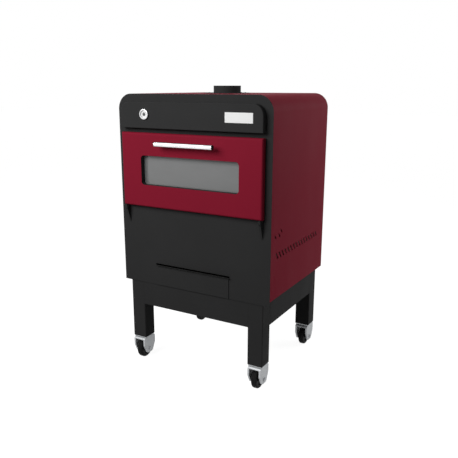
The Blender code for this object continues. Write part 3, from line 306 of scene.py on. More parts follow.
def powder_coat(name, tone):
    """Fine textured black paint, a little duller where hands and heat have been."""
    made = Finish(name, specular_ior_level=0.012)
    cloud = made.noise(3.1, 4)
    grain = made.noise(1500, 2, roughness=0.7)
    rub = made.noise(14, 5, (1, 1, 0.35), 0.6)
    speck = made.cells(700).above(0.62, 9)
    base = made.vary(cloud, tone, 0.86, 1.12)
    base = made.mix(speck * 0.12, base, shade(tone, 2.6))
    return made.feed(base, 0.40 + rub * 0.2, relief=grain, depth=0.00006)


def metal(name, tone, roughness, along=(1, 1, 1), wear=0.1, depth=0.00002):
    """Bare metal with drawn or ground lines along one direction."""
    made = Finish(name)
    lines = made.noise(240, 3, along, 0.7)
    cloud = made.noise(7, 4)
    stain = made.noise(38, 4, roughness=0.65).above(0.55, 4)
    base = made.vary(lines, tone, 1 - wear, 1 + wear)
    base = made.mix(stain * wear, base, shade(tone, 0.62))
    gloss = roughness + cloud * 0.08 + lines * 0.08
    return made.feed(base, gloss, 1 - stain * 0.12, relief=lines, depth=depth)


def galvanised(name, tone):
    """Zinc plate with its cloudy spangle and a few dull spots."""
    made = Finish(name, metallic=0.35, specular_ior_level=0.3)
    spangle = made.cells(160)
    cloud = made.noise(30, 4)
    spots = made.noise(85, 4).above(0.6, 5)
    base = made.vary(spangle, tone, 0.94, 1.06)
    base = made.mix(spots * 0.25, base, shade(tone, 0.7))
    return made.feed(base, 0.40 + cloud * 0.18, relief=spangle + cloud, depth=0.00003)


def heated_steel(name, tone):
    """Sheet steel browned and blued by heat, with soot in patches."""
    made = Finish(name)
    heat = made.noise(5.5, 4)
    soot = made.noise(17, 5, roughness=0.7).above(0.45, 3)
    lines = made.noise(260, 3, (1, 0.06, 1), 0.7)
    steps = (
        (0.30, shade(tone, 1.2)[:3]),
        (0.46, (tone[0] * 1.3, tone[1] * 1.0, tone[2] * 0.75)),
        (0.56, (tone[0] * 0.95, tone[1] * 0.95, tone[2] * 1.35)),
        (0.70, shade(tone, 1.5)[:3]),
    )
    base = made.mix(soot * 0.7, made.ramp(heat, steps), (0.011, 0.010, 0.010, 1))
    return made.feed(base, 0.34 + soot * 0.45 + lines * 0.1, 0.85 - soot * 0.7, relief=lines, depth=0.00003)


def cast(name, tone):
    """Sand cast iron, pitted and dusted with grey ash."""
    made = Finish(name, specular_ior_level=0.35)
    pits = made.noise(420, 4, roughness=0.75)
    ash = made.noise(24, 5, roughness=0.7).above(0.5, 4)
    base = made.vary(pits, tone, 0.7, 1.3)
    base = made.mix(ash * 0.35, base, (0.30, 0.29, 0.27, 1))
    return made.feed(base, 0.72 + pits * 0.2, relief=pits, depth=0.0004)


def rubber(name, tone):
    """Black rubber, greyed by the floor."""
    made = Finish(name, specular_ior_level=0.08)
    grain = made.noise(800, 3)
    dirt = made.noise(52, 5, roughness=0.7).above(0.48, 3)
    base = made.mix(dirt * 0.12, shade(tone, 1), (0.085, 0.080, 0.072, 1))
    return made.feed(base, 0.62 + dirt * 0.25, relief=grain, depth=0.00008)


def moulded(name, tone):
    """Moulded plastic with a fine spark grain."""
    made = Finish(name, specular_ior_level=0.1)
    grain = made.noise(1300, 2)
    cloud = made.noise(18, 3)
    base = made.vary(cloud, tone, 0.9, 1.15)
    return made.feed(base, 0.42 + grain * 0.16, relief=grain, depth=0.00004)


def ceramic_glass(name, tone):
    """Tinted glass that lets little of the oven through, with faint smoke in patches."""
    made = Finish(name, specular_ior_level=0.5)
    smoke = made.noise(6.5, 4, (1, 1, 2), 0.6)
    wipe = made.noise(30, 4, (0.3, 1, 1.4), 0.6)
    base = made.vary(smoke, tone, 0.95, 1.05)
    return made.feed(base, 0.10 + wipe * 0.08, alpha=0.93 + smoke * 0.05)


def clear_glass(name):
    """The dial's lens."""
    made = Finish(name, specular_ior_level=0.5)
    wipe = made.noise(60, 3)
    base = made.mix(wipe, (0.96, 0.97, 0.97, 1), (1, 1, 1, 1))
    return made.feed(base, 0.03 + wipe * 0.05, alpha=0.04 + wipe * 0.03)


def fired_white(name, tone):
    """White enamel fired on steel, a little waved."""
    made = Finish(name, specular_ior_level=0.4)
    ripple = made.noise(130, 2)
    cloud = made.noise(21, 3)
    base = made.vary(cloud, tone, 0.97, 1.02)
    return made.feed(base, 0.28 + cloud * 0.1, relief=ripple, depth=0.00003)


def printed(name, tone):
    """Black figures printed on the dial."""
    made = Finish(name, specular_ior_level=0.3)
    grain = made.noise(1800, 2)
    return made.feed(made.vary(grain, tone, 0.8, 1.4), 0.5 + grain * 0.2)


def fibre(name, tone):
    """Pressed mineral wool in combed layers."""
    made = Finish(name, specular_ior_level=0.1)
    strands = made.noise(420, 4, (1, 1, 0.12), 0.75)
    layers = made.waves(46, distortion=6, direction="Z")
    patch = made.noise(12, 4)
    base = made.vary(strands, tone, 0.62, 1.25)
    base = made.mix(patch * 0.4, base, shade(tone, 0.8))
    return made.feed(base, 0.9 + patch * 0.08, relief=strands + layers * 0.4, depth=0.0006)


def braided(name, tone):
    """Woven glass rope: two sets of strands that cross, browned by smoke."""
    made = Finish(name, specular_ior_level=0.15)
    over = made.waves(150, (0, math.radians(45), 0))
    under = made.waves(150, (0, math.radians(-45), 0))
    smoke = made.noise(16, 4).above(0.42, 3)
    weave = over * under
    base = made.vary(weave, tone, 0.55, 1.2)
    base = made.mix(smoke * 0.5, base, (0.10, 0.085, 0.07, 1))
    return made.feed(base, 0.85 + smoke * 0.1, relief=weave, depth=0.0006)


FINISHES = {}


# The bench: a mesh that bmesh operators shape


class Bench:
    """A piece while it is being made."""

    def __init__(self):
        self.mesh = bmesh.new()

    def face(self, corners, radii=(), steps=8):
        """A flat face on its corners, each rounded by its own radius or all of them by one."""
        before = set(self.mesh.faces)
        spots = [self.mesh.verts.new(corner) for corner in corners]
        radii = [radii] * len(spots) if isinstance(radii, float) else radii
        self.mesh.faces.new(spots)
        for spot, radius in zip(spots, radii):
            if radius:
                self.round([spot], radius, steps, "VERTICES")
        self.mesh.normal_update()
        return max((f for f in self.mesh.faces if f not in before), key=lambda f: f.calc_area())

    def ring(self, corners, radii=(), steps=8):
        """The edges of such a face, without the face."""
        face = self.face(corners, radii, steps)
        edges = list(face.edges)
        bmesh.ops.delete(self.mesh, geom=[face], context="FACES_ONLY")
        return edges

    def circle(self, centre, radius, facing, steps=24):
        """The edges of a circle."""
        place = Matrix.Translation(centre) @ facing.to_track_quat("Z", "Y").to_matrix().to_4x4()
        made = bmesh.ops.create_circle(self.mesh, segments=steps, radius=radius, matrix=place)
        return list({edge for spot in made["verts"] for edge in spot.link_edges})

    def slot(self, centre, along, across, span, width):
        """The edges of a slot with round ends."""
        facing = along.cross(across)
        turn = Matrix((along, across, facing)).transposed().to_4x4()
        place = Matrix.Translation(centre) @ turn
        made = bmesh.ops.create_circle(self.mesh, segments=18, radius=width / 2, matrix=place)
        for spot in made["verts"]:
            shift = math.copysign((span - width) / 2, (spot.co - centre).dot(along))
            spot.co += along * shift
        return list({edge for spot in made["verts"] for edge in spot.link_edges})

    def pierce(self, face, *rings):
        """Fills a face again with openings where the rings are."""
        edges = list(face.edges) + [edge for ring in rings for edge in ring]
        normal = face.normal.copy()
        bmesh.ops.delete(self.mesh, geom=[face], context="FACES_ONLY")
        made = bmesh.ops.triangle_fill(
            self.mesh, use_beauty=True, use_dissolve=False, edges=edges, normal=normal
        )
        faces = only(made, bmesh.types.BMFace)
        bmesh.ops.recalc_face_normals(self.mesh, faces=faces)
        self.mesh.normal_update()
        if faces[0].normal.dot(normal) < 0:
            bmesh.ops.reverse_faces(self.mesh, faces=faces)
        return faces

    def fold(self, edges, shift):
        """Draws a wall out of edges; returns the edges at its far end."""
        made = bmesh.ops.extrude_edge_only(self.mesh, edges=edges)
        bmesh.ops.translate(self.mesh, verts=only(made, bmesh.types.BMVert), vec=shift)
        return only(made, bmesh.types.BMEdge)

    def thicken(self, faces, shift):
        """Makes a flat region a closed solid."""
        made = bmesh.ops.extrude_face_region(self.mesh, geom=faces)
        bmesh.ops.translate(self.mesh, verts=only(made, bmesh.types.BMVert), vec=shift)
        self.outward()

    def pan(self, low, high, radii=(), steps=8):
        """Sheet over a box's front and sides, open at its back."""
        face = self.face(on_front(low.y, low.xz, high.xz), radii, steps)
        self.fold(list(face.edges), Y * (high.y - low.y))
        self.outward()
        self.look(self.mesh.faces[0], -Y)

    def pierced_plate(self, outer, inner, shift):
        """A thick plate with one opening. Each outline is given as what face takes."""
        face = self.face(*outer)
        self.thicken(self.pierce(face, self.ring(*inner)), shift)

    def round(self, geometry, radius, steps=3, affect="EDGES"):
        shape = {"offset": radius, "offset_type": "OFFSET", "segments": steps, "profile": 0.5}
        rules = {"affect": affect, "material": -1, "clamp_overlap": True, "loop_slide": False}
        bmesh.ops.bevel(self.mesh, geom=geometry, **shape, **rules)
        self.mesh.normal_update()

    def round_front(self, y, radius, steps):
        """Rounds the sharp edges that lie in a sheet's front plane."""
        self.round(self.sharp(60, lambda spot: spot.y < y + WELD), radius, steps)

    def sharp(self, degrees=40, where=None):
        """The edges where the surface turns by more than an angle."""
        limit = math.radians(degrees)
        return [
            edge
            for edge in self.mesh.edges
            if len(edge.link_faces) == 2
            and edge.calc_face_angle(0) > limit
            and (where is None or all(where(spot.co) for spot in edge.verts))
        ]

    def block(self, low, high):
        """A box between two corners."""
        low, high = Vector(low), Vector(high)
        place = Matrix.Translation((low + high) / 2) @ Matrix.Diagonal((*(high - low), 1))
        return bmesh.ops.create_cube(self.mesh, size=1, matrix=place)["verts"]

    def rod(self, start, end, radius, steps=16, end_radius=None):
        """A round bar or a cone between two places."""
        start, end = Vector(start), Vector(end)
        run = end - start
        turn = run.to_track_quat("Z", "Y").to_matrix().to_4x4()
        place = Matrix.Translation((start + end) / 2) @ turn
        ends = {"radius1": radius, "radius2": radius if end_radius is None else end_radius}
        bmesh.ops.create_cone(
            self.mesh, cap_ends=True, segments=steps, depth=run.length, matrix=place, **ends
        )

    def screw(self, place, way, foot, crown):
        """A pan head over a place, from one height to another."""
        place = Vector(place)
        self.rod(place + way * foot, place + way * crown, settings("body").screw_head, 16, SCREW_CROWN)

    def turn(self, profile, centre, axis, steps=48, closed=False):
        """A profile of (radius, height) points turned about an axis."""
        centre, axis = Vector(centre), Vector(axis)
        side = axis.orthogonal().normalized()
        spots = [self.mesh.verts.new(centre + side * out + axis * up) for out, up in profile]
        pairs = list(zip(spots, spots[1:])) + ([(spots[-1], spots[0])] if closed else [])
        edges = [self.mesh.edges.new(pair) for pair in pairs]
        whole = {"angle": math.tau, "steps": steps, "use_merge": True}
        bmesh.ops.spin(self.mesh, geom=spots + edges, cent=centre, axis=axis, **whole)
        bmesh.ops.remove_doubles(self.mesh, verts=self.mesh.verts, dist=WELD / 10)
        bmesh.ops.recalc_face_normals(self.mesh, faces=self.mesh.faces)

    def copy_of(self, node):
        """A merged copy of a frame node, for edges that the frame leaves sharp."""
        self.mesh.from_mesh(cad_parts[node].data)
        bmesh.ops.remove_doubles(self.mesh, verts=self.mesh.verts, dist=WELD)
        parts = {"verts": self.mesh.verts, "edges": self.mesh.edges}
        rules = {"angle_limit": math.radians(0.5), "use_dissolve_boundaries": False, "delimit": set()}
        bmesh.ops.dissolve_limit(self.mesh, **parts, **rules)
        self.mesh.normal_update()
        return self

    def outward(self):
        bmesh.ops.recalc_face_normals(self.mesh, faces=self.mesh.faces)
        self.mesh.normal_update()

    def look(self, face, way):
        """Turns the whole sheet over where one of its faces looks the other way."""
        if face.normal.dot(way) < 0:
            bmesh.ops.reverse_faces(self.mesh, faces=self.mesh.faces)

    def done(self, name, finish_name, body, stands_for=(), wall=0, inward=True):
        """Hands the mesh over as a finished piece that rides on a body."""
        data = bpy.data.meshes.new(name)
        self.mesh.to_mesh(data)
        self.mesh.free()
        data.shade_smooth()
        data.set_sharp_from_angle(angle=math.radians(38))
        piece = bpy.data.objects.new(name, data)
        bpy.context.scene.collection.objects.link(piece)
        data.materials.append(FINISHES[finish_name][0])
        if wall:
            sheet = piece.modifiers.new("Sheet", "SOLIDIFY")
            sheet.thickness = wall
            sheet.offset = -1 if inward else 1
            sheet.use_even_offset = True
        even = piece.modifiers.new("Even shading", "WEIGHTED_NORMAL")
        even.keep_sharp = True
        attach(piece, body)
        if stands_for:
            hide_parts(*stands_for)
        return piece


def only(made, kind):
    """What is of one kind in an operator's result."""
    return [item for item in made["geom"] if isinstance(item, kind)]


def rounded_copy(node, name, finish_name, body, radius):
    """A frame node's shape with its sharp edges rounded."""
    bench = Bench().copy_of(node)
    bench.round(bench.sharp(50), radius, 2)
    bench.done(name, finish_name, body, [node])


def on_front(y, low, high):
    """Corners of a rectangle in a plane of constant y, seen from the front."""
    return [(low[0], y, low[1]), (high[0], y, low[1]), (high[0], y, high[1]), (low[0], y, high[1])]


def on_top(z, low, high, inset=0):
    """Corners of a box's rectangle in a plane of constant z, moved inwards by an inset."""
    x0, y0, x1, y1 = low.x + inset, low.y + inset, high.x - inset, high.y - inset
    return [(x0, y0, z), (x1, y0, z), (x1, y1, z), (x0, y1, z)]


def mirrored(upper):
    """An outline and, after it, its mirror image below."""
    return upper + [(out, -up) for out, up in reversed(upper)]


def grown(node, margin):
    """A node's lower and upper corners seen from the front, moved outwards by a margin."""
    low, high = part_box(node)
    return (low.x - margin, low.z - margin), (high.x + margin, high.z + margin)


def settings(group):
    return getattr(bpy.context.scene, "oven_" + group)


# Operators


class OvenStep(bpy.types.Operator):
    """One step of the oven's making."""

    bl_options = {"REGISTER", "UNDO"}


class OVEN_OT_stage(OvenStep):
    """Floor, lights and camera"""

    bl_idname = "oven.stage"
    bl_label = "Stage"
    SENSOR_WIDTH = 36
    IMAGE_SIDE = 458
    SHIFT = (7, 4)
    CAMERA_PLACE = (1.5878, -2.7473, 1.5386)
    PITCH = math.radians(14.30)
    HEADING = math.radians(30.14)
    LAMP_GLOSS = 0.3
    FLOOR_GLOW = 0.93
    FLOOR_REACH = 30

    def execute(self, context):
        studio = settings("studio")
        scene = bpy.context.scene
        scene.view_settings.view_transform = "Standard"
        self.camera(scene, studio)
        self.lights(scene, studio)
        self.sky(scene, studio)
        self.floor(scene, studio)
        return {"FINISHED"}

    def camera(self, scene, studio):
        camera = bpy.data.cameras.new("camera")
        camera.lens = studio.lens
        camera.sensor_width = self.SENSOR_WIDTH
        camera.shift_x, camera.shift_y = (pixels / self.IMAGE_SIDE for pixels in self.SHIFT)
        camera.clip_end = 50
        seat = bpy.data.objects.new("camera", camera)
        seat.location = self.CAMERA_PLACE
        seat.rotation_euler = (math.pi / 2 - self.PITCH, 0, self.HEADING)
        scene.collection.objects.link(seat)
        scene.camera = seat

    def lights(self, scene, studio):
        """A tall softbox at the front left and a low even light from behind on the right."""
        for name, strength, size, height, place, aim in (
            ("key", studio.key, 2.6, 1.9, (-1.0, -2.9, 2.75), (0, -0.3, 2.25)),
            ("fill", studio.fill, 2.2, 2.0, (2.6, 2.6, 2.0), (0, 0, 1.4)),
        ):
            lamp = bpy.data.lights.new(name, "AREA")
            lamp.shape = "RECTANGLE"
            lamp.size = size
            lamp.size_y = height
            lamp.energy = strength
            lamp.specular_factor = self.LAMP_GLOSS
            holder = bpy.data.objects.new(name, lamp)
            run = Vector(aim) - Vector(place)
            holder.rotation_euler = run.to_track_quat("-Z", "Y").to_euler()
            holder.location = place
            holder.visible_camera = False
            scene.collection.objects.link(holder)

    def sky(self, scene, studio):
        world = bpy.data.worlds.new("studio")
        world.use_nodes = True
        tree = world.node_tree
        tree.nodes.clear()
        path = tree.nodes.new("ShaderNodeLightPath")
        seen = Wire(tree, path.outputs["Is Camera Ray"]) + Wire(tree, path.outputs["Is Glossy Ray"])
        seen = seen + Wire(tree, path.outputs["Is Transmission Ray"])
        strength = studio.sky + seen.above(0, 1) * (1 - studio.sky)
        back = tree.nodes.new("ShaderNodeBackground")
        back.inputs["Color"].default_value = (1, 1, 1, 1)
        tree.links.new(strength.socket, back.inputs["Strength"])
        out = tree.nodes.new("ShaderNodeOutputWorld")
        tree.links.new(back.outputs[0], out.inputs["Surface"])
        scene.world = world

    def floor(self, scene, studio):
        made = Finish("floor", roughness=0.9, specular_ior_level=0.1)
        cloud = made.noise(1.5, 2)
        tone = tuple(studio.floor)
        made.feed(made.vary(cloud, tone, 0.99, 1.01))
        path = made.node("ShaderNodeLightPath", {}, {})
        seen = made.wire(path, "Is Camera Ray") + made.wire(path, "Is Glossy Ray")
        made.shader.inputs["Emission Color"].default_value = (1, 1, 1, 1)
        made.tree.links.new((seen * self.FLOOR_GLOW).socket, made.shader.inputs["Emission Strength"])
        ground = bmesh.new()
        bmesh.ops.create_grid(ground, x_segments=1, y_segments=1, size=self.FLOOR_REACH)
        data = bpy.data.meshes.new("floor")
        ground.to_mesh(data)
        ground.free()
        data.materials.append(made.material)
        floor = bpy.data.objects.new("floor", data)
        scene.collection.objects.link(floor)


class OVEN_OT_finishes(OvenStep):
    """Materials, and the frame nodes that keep their shape"""

    bl_idname = "oven.finishes"
    bl_label = "Finishes"

    KEPT = {
        "oven_chamber": "hot steel",
        "firebox_hopper": "hot steel",
        "ash_drawer_tray": "hot steel",
        "insulation_blanket": "mineral wool",
        "door_insulation": "mineral wool",
        "plug_insulation": "mineral wool",
    }

    def execute(self, context):
        tones = settings("colours")
        table = (
            ("red enamel", "red_enamel", enamel, tones.red),
            ("black paint", "black_paint", powder_coat, tones.black),
            ("zinc", "zinc", galvanised, tones.zinc),
            ("brushed steel", "brushed_steel", metal, tones.steel, 0.28, (1, 1, 0.05)),
            ("drawn steel", "brushed_steel", metal, tones.steel, 0.30, (0.03, 1, 1)),
            ("polished steel", "polished_steel", metal, tones.bright, 0.10, (0.04, 1, 1), 0.04, 0.000004),
            # Painted shade: the handle posts are brushed steel, but are painted black so the bit over the bar
            # reads as shadow.
            ("black steel", "brushed_steel", powder_coat, tones.black),
            ("black leaf", "dark_steel", powder_coat, tones.black),
            ("hot steel", "dark_steel", heated_steel, tones.hot_steel),
            ("cast iron", "cast_iron", cast, tones.iron),
            ("rubber", "rubber", rubber, tones.rubber),
            ("black plastic", "black_plastic", moulded, tones.plastic),
            ("glass", "glass", ceramic_glass, tones.glass),
            ("lens", "glass", clear_glass),
            ("white enamel", "white_enamel", fired_white, tones.white),
            ("ink", None, printed, tones.ink),
            ("mineral wool", "mineral_wool", fibre, tones.wool),
            ("rope", "rope", braided, tones.rope),
        )
        for name, slot, make, *values in table:
            FINISHES[name] = (make(name, *values), slot)
        for name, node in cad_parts.items():
            for place in node.material_slots:
                place.material = FINISHES[self.KEPT.get(name, "black paint")][0]
        return {"FINISHED"}


class OVEN_OT_jacket(OvenStep):
    """Jacket with its vents, and the rear cover"""

    bl_idname = "oven.jacket"
    bl_label = "Jacket"
    SMALL_VENTS = ((0.052, 0.321), (0.098, 0.321), (0.120, 0.341))
    FLUE_GAP = 0.0006
    REAR_INSET = 0.012
    REAR_LIFT = 0.002
    REAR_EDGE = 0.003
    REAR_WALL = 0.0018
    SCREW_SPAN = (0.0004, 0.0030)
    SIDE_SCREW_SHARES = (0.08, 0.36, 0.64, 0.88)
    END_SCREW_SHARES = (0.15, 0.38, 0.62, 0.85)

    def execute(self, context):
        sizes = settings("body")
        low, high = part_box("outer_shell")
        bench = Bench()
        corners = on_front(low.y, low.xz, high.xz)
        corner = sizes.jacket_corner
        face = bench.face(corners, (0, 0, corner, corner), 24)
        foot = [edge for edge in face.edges if all(spot.co.z < low.z + WELD for spot in edge.verts)]
        bmesh.ops.delete(bench.mesh, geom=[face], context="FACES_ONLY")
        bmesh.ops.delete(bench.mesh, geom=foot, context="EDGES")
        bench.fold(list(bench.mesh.edges), Y * (high.y - low.y))
        bench.outward()
        walls = sorted(bench.mesh.faces, key=lambda f: -f.calc_area() * abs(f.normal.x))[:2]
        top = max(bench.mesh.faces, key=lambda f: f.calc_area() * abs(f.normal.z))
        bench.look(top, Z)
        for wall in walls:
            bench.pierce(wall, *self.vents(bench, wall, sizes, low))
        collar_low, collar_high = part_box("flue_collar")
        centre = (collar_low + collar_high) / 2
        centre.z = high.z
        bench.pierce(top, bench.circle(centre, collar_high.x + self.FLUE_GAP, Z, 48))
        bench.done("jacket", "red enamel", "body", ["outer_shell"], sizes.jacket_wall)
        self.rear(sizes)
        return {"FINISHED"}

    def vents(self, bench, wall, sizes, low):
        """The row of slanted vents and the three small ones over it."""
        x = wall.calc_center_median().x
        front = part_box("front_fascia")[0].y
        along = Vector((0, math.cos(sizes.vent_slant), math.sin(sizes.vent_slant)))
        across = along.cross(X)
        row = [sizes.vent_setback + index * sizes.vent_pitch for index in range(sizes.vent_count)]
        rows = [(setback, sizes.vent_rise, sizes.vent_length, sizes.vent_width) for setback in row]
        for place in self.SMALL_VENTS:
            rows.append((*place, sizes.small_vent_length, sizes.small_vent_width))
        return [
            bench.slot(Vector((x, front + setback, low.z + rise)), along, across, span, width)
            for setback, rise, span, width in rows
        ]

    def rear(self, sizes):
        """The dished cover with its screws."""
        low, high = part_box("rear_cover")
        inset = self.REAR_INSET
        corner = sizes.jacket_corner - sizes.jacket_wall
        flange_y = low.y + self.REAR_LIFT
        bench = Bench()
        corners = on_front(flange_y, low.xz, high.xz)
        flange = bench.face(corners, (0, 0, corner, corner), 16)
        inner = corner - inset
        dish = on_front(flange_y, *grown("rear_cover", -inset))
        ring = bench.ring(dish, (inset, inset, inner, inner), 12)
        bench.pierce(flange, ring)
        far = bench.fold(ring, Y * (high.y - flange_y))
        bmesh.ops.edgeloop_fill(bench.mesh, edges=far)
        bench.outward()
        back = max(bench.mesh.faces, key=lambda f: f.calc_area())
        bench.look(back, Y)
        bench.round(bench.sharp(40, lambda spot: spot.y > high.y - WELD), self.REAR_EDGE, 4)
        bench.done("rear_pan", "black paint", "body", ["rear_cover"], self.REAR_WALL)
        heads = Bench()
        for x, z in self.screw_places(low, high, inset / 2):
            heads.screw((x, flange_y, z), Y, *self.SCREW_SPAN)
        heads.done("rear_screws", "zinc", "body")

    def screw_places(self, low, high, margin):
        places = []
        for share in self.SIDE_SCREW_SHARES:
            z = low.z + (high.z - low.z) * share
            places += [(low.x + margin, z), (high.x - margin, z)]
        for share in self.END_SCREW_SHARES:
            x = low.x + (high.x - low.x) * share
            places += [(x, low.z + margin), (x, high.z - margin)]
        return places


class OVEN_OT_front(OvenStep):
    """Front plate, control panel and bare plate"""

    bl_idname = "oven.front"
    bl_label = "Front"
    TRAY_GAP = 0.002
    TRAY_GAP_UNDER = 0.0015
    SLOT_SHIFT = -0.006
    STEM_HOLE_RADIUS = 0.004
    PANEL_WALL = 0.002
    PLATE_CORNER = 0.0015
    PLATE_EDGE = 0.0005

    def execute(self, context):
        sizes = settings("body")
        low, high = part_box("front_fascia")
        bench = Bench()
        corner = sizes.jacket_corner
        plate = bench.face(on_front(low.y, low.xz, high.xz), (0, 0, corner, corner), 24)
        mouth = bench.ring(
            on_front(low.y, *grown("window_jamb", sizes.mouth_margin)), sizes.mouth_corner, 6
        )
        tray_low, tray_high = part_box("ash_drawer_tray")
        lip_low, lip_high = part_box("ash_drawer_front")
        root = lip_high.z - sizes.lip_rise + sizes.lip_lift
        top = lip_high.z + sizes.drawer_slot
        foot = tray_low.z - self.TRAY_GAP_UNDER
        left, right = tray_low.x - self.TRAY_GAP, tray_high.x + self.TRAY_GAP
        far_left, far_right = lip_low.x + self.SLOT_SHIFT, lip_high.x + self.SLOT_SHIFT
        rim = [(left, foot), (right, foot), (right, root), (far_right, root)]
        rim += [(far_right, top), (far_left, top), (far_left, root), (left, root)]
        drawer = bench.ring([(x, low.y, z) for x, z in rim])
        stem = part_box("thermometer_bezel")
        centre = (stem[0] + stem[1]) / 2
        centre.y = low.y
        hole = bench.circle(centre, self.STEM_HOLE_RADIUS, -Y, 16)
        faces = bench.pierce(plate, mouth, drawer, hole)
        bench.thicken(faces, Y * (high.y - low.y))
        bench.round_front(low.y, sizes.sheet_edge, 2)
        bench.done("front_plate", "black paint", "body", ["front_fascia"])
        self.panel(sizes)
        self.plate()
        return {"FINISHED"}

    def panel(self, sizes):
        low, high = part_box("control_panel")
        bench = Bench()
        corner = sizes.panel_corner
        bench.pan(low, high, (0, 0, corner, corner), 20)
        bench.round_front(low.y, sizes.panel_edge, 5)
        bench.done("panel_pan", "black paint", "body", ["control_panel"], self.PANEL_WALL)

    def plate(self):
        low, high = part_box("bare_plate")
        bench = Bench()
        face = bench.face(on_front(low.y, low.xz, high.xz), self.PLATE_CORNER, 4)
        bench.thicken([face], Y * (high.y - low.y))
        bench.round_front(low.y, self.PLATE_EDGE, 3)
        bench.done("plain_plate", "white enamel", "body", ["bare_plate"])


class OVEN_OT_thermometer(OvenStep):
    """Bezel, dial, figures, needle and lens"""

    bl_idname = "oven.thermometer"
    bl_label = "Thermometer"
    SEAT = 0.0003
    SIGHT_RADIUS = 0.0200
    WELL_RADIUS = 0.0225
    WELL_FLOOR = 0.002
    LIP_WALL = 0.0012
    STEM_RADIUS = 0.003
    BEZEL_EDGE = 0.0003
    LENS_RADIUS = 0.0220
    LENS_EDGE = 0.0004
    DIAL_EDGE = 0.0002
    TICK_RELIEF = 0.00012
    TICKS_REACH = 0.0188
    FIGURES_REACH = 0.0122
    SHORT_TICK_SHARES = (0.55, 0.6)
    TICKS_PER_LONG = 5
    TICKS_PER_FIGURE = 10
    DEGREES_PER_TICK = 15
    NEEDLE_EDGE = 0.0001
    CAP_HEIGHTS = (0.0012, 0.0002)
    CAP_CROWN_RADIUS = 0.004

    def execute(self, context):
        low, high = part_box("thermometer_bezel")
        centre = (low + high) / 2
        centre.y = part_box("control_panel")[0].y - self.SEAT
        self.bezel(centre, low, high)
        self.disc("lens", "lens", centre, self.LENS_RADIUS, self.LENS_EDGE)
        self.dial(centre)
        self.needle()
        return {"FINISHED"}

    def bezel(self, centre, low, high):
        radius = (high.x - low.x) / 2
        depth, end = centre.y - low.y, centre.y - high.y
        bench = Bench()
        sight, well, stem = self.SIGHT_RADIUS, self.WELL_RADIUS, self.STEM_RADIUS
        lip, floor = depth - self.LIP_WALL, self.WELL_FLOOR
        profile = [(sight, depth), (radius - 0.0024, depth), (radius - 0.0010, depth - 0.0006)]
        profile += [(radius, depth - 0.0022), (radius, 0.0006), (radius - 0.0006, 0), (stem, 0)]
        profile += [(stem, end), (0, end), (0, floor), (well, floor), (well, lip), (sight, lip)]
        bench.turn(profile, centre, -Y, 72, closed=True)
        bench.round(bench.sharp(50, lambda spot: spot.y < centre.y), self.BEZEL_EDGE, 2)
        bench.done("bezel", "polished steel", "body", ["thermometer_bezel"])

    def disc(self, part, finish_name, centre, radius, edge):
        """A round pane or plate across the thermometer."""
        low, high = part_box(f"thermometer_{part}")
        bench = Bench()
        bench.rod((centre.x, high.y, centre.z), (centre.x, low.y, centre.z), radius, 64)
        bench.round(bench.sharp(60), edge, 2)
        bench.done(part, finish_name, "body", [f"thermometer_{part}"])

    def dial(self, centre):
        low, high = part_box("thermometer_dial")
        self.disc("dial", "white enamel", centre, (high.x - low.x) / 2, self.DIAL_EDGE)
        sizes = settings("dial")
        marks = Bench()
        start = -math.pi / 2 - (math.tau - sizes.sweep) / 2
        for index in range(sizes.tick_count):
            angle = start - sizes.sweep * index / (sizes.tick_count - 1)
            span_share, width_share = (1, 1) if index % self.TICKS_PER_LONG == 0 else self.SHORT_TICK_SHARES
            span = sizes.tick_length * span_share
            half = sizes.tick_width * width_share / 2
            spots = marks.block((-half, -self.TICK_RELIEF, -span), (half, 0, 0))
            place = Matrix.Translation((centre.x, low.y, centre.z))
            place = place @ Matrix.Rotation(math.pi / 2 - angle, 4, "Y")
            place = place @ Matrix.Translation((0, 0, self.TICKS_REACH))
            bmesh.ops.transform(marks.mesh, matrix=place, verts=spots)
        marks.done("dial_ticks", "ink", "body")
        for index in range(0, sizes.tick_count, self.TICKS_PER_FIGURE):
            angle = start - sizes.sweep * index / (sizes.tick_count - 1)
            self.figure(str(index * self.DEGREES_PER_TICK), centre, low.y, angle, sizes)

    def figure(self, word, centre, y, angle, sizes):
        """One number, made a mesh before it takes its place."""
        curve = bpy.data.curves.new("figure", "FONT")
        curve.body = word
        curve.size = sizes.figure_height
        curve.align_x = "CENTER"
        curve.align_y = "CENTER"
        curve.resolution_u = 3
        curve.extrude = sizes.figure_depth / 2
        holder = bpy.data.objects.new("figure", curve)
        bpy.context.scene.collection.objects.link(holder)
        bpy.context.view_layer.update()
        flat = bpy.data.meshes.new_from_object(holder)
        bench = Bench()
        bench.mesh.from_mesh(flat)
        bmesh.ops.remove_doubles(bench.mesh, verts=bench.mesh.verts, dist=WELD / 10)
        bench.outward()
        reach = self.FIGURES_REACH
        x, z = centre.x + reach * math.cos(angle), centre.z + reach * math.sin(angle)
        place = Matrix.Translation((x, y - sizes.figure_depth / 2, z)) @ Matrix.Rotation(math.pi / 2, 4, "X")
        bmesh.ops.transform(bench.mesh, matrix=place, verts=bench.mesh.verts)
        bpy.data.objects.remove(holder)
        bpy.data.curves.remove(curve)
        bpy.data.meshes.remove(flat)
        bench.done(f"dial_figure_{word}", "ink", "body")

    def needle(self):
        bench = Bench()
        bench.copy_of("thermometer_needle")
        bench.round(bench.sharp(50), self.NEEDLE_EDGE, 2)
        low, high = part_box("thermometer_bezel")
        x, z = (low.x + high.x) / 2, (low.z + high.z) / 2
        face_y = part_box("thermometer_needle")[0].y
        foot, crown = ((x, face_y + height, z) for height in self.CAP_HEIGHTS)
        bench.rod(foot, crown, settings("dial").hub, 32, self.CAP_CROWN_RADIUS)
        bench.done("needle", "black plastic", "needle", ["thermometer_needle"])


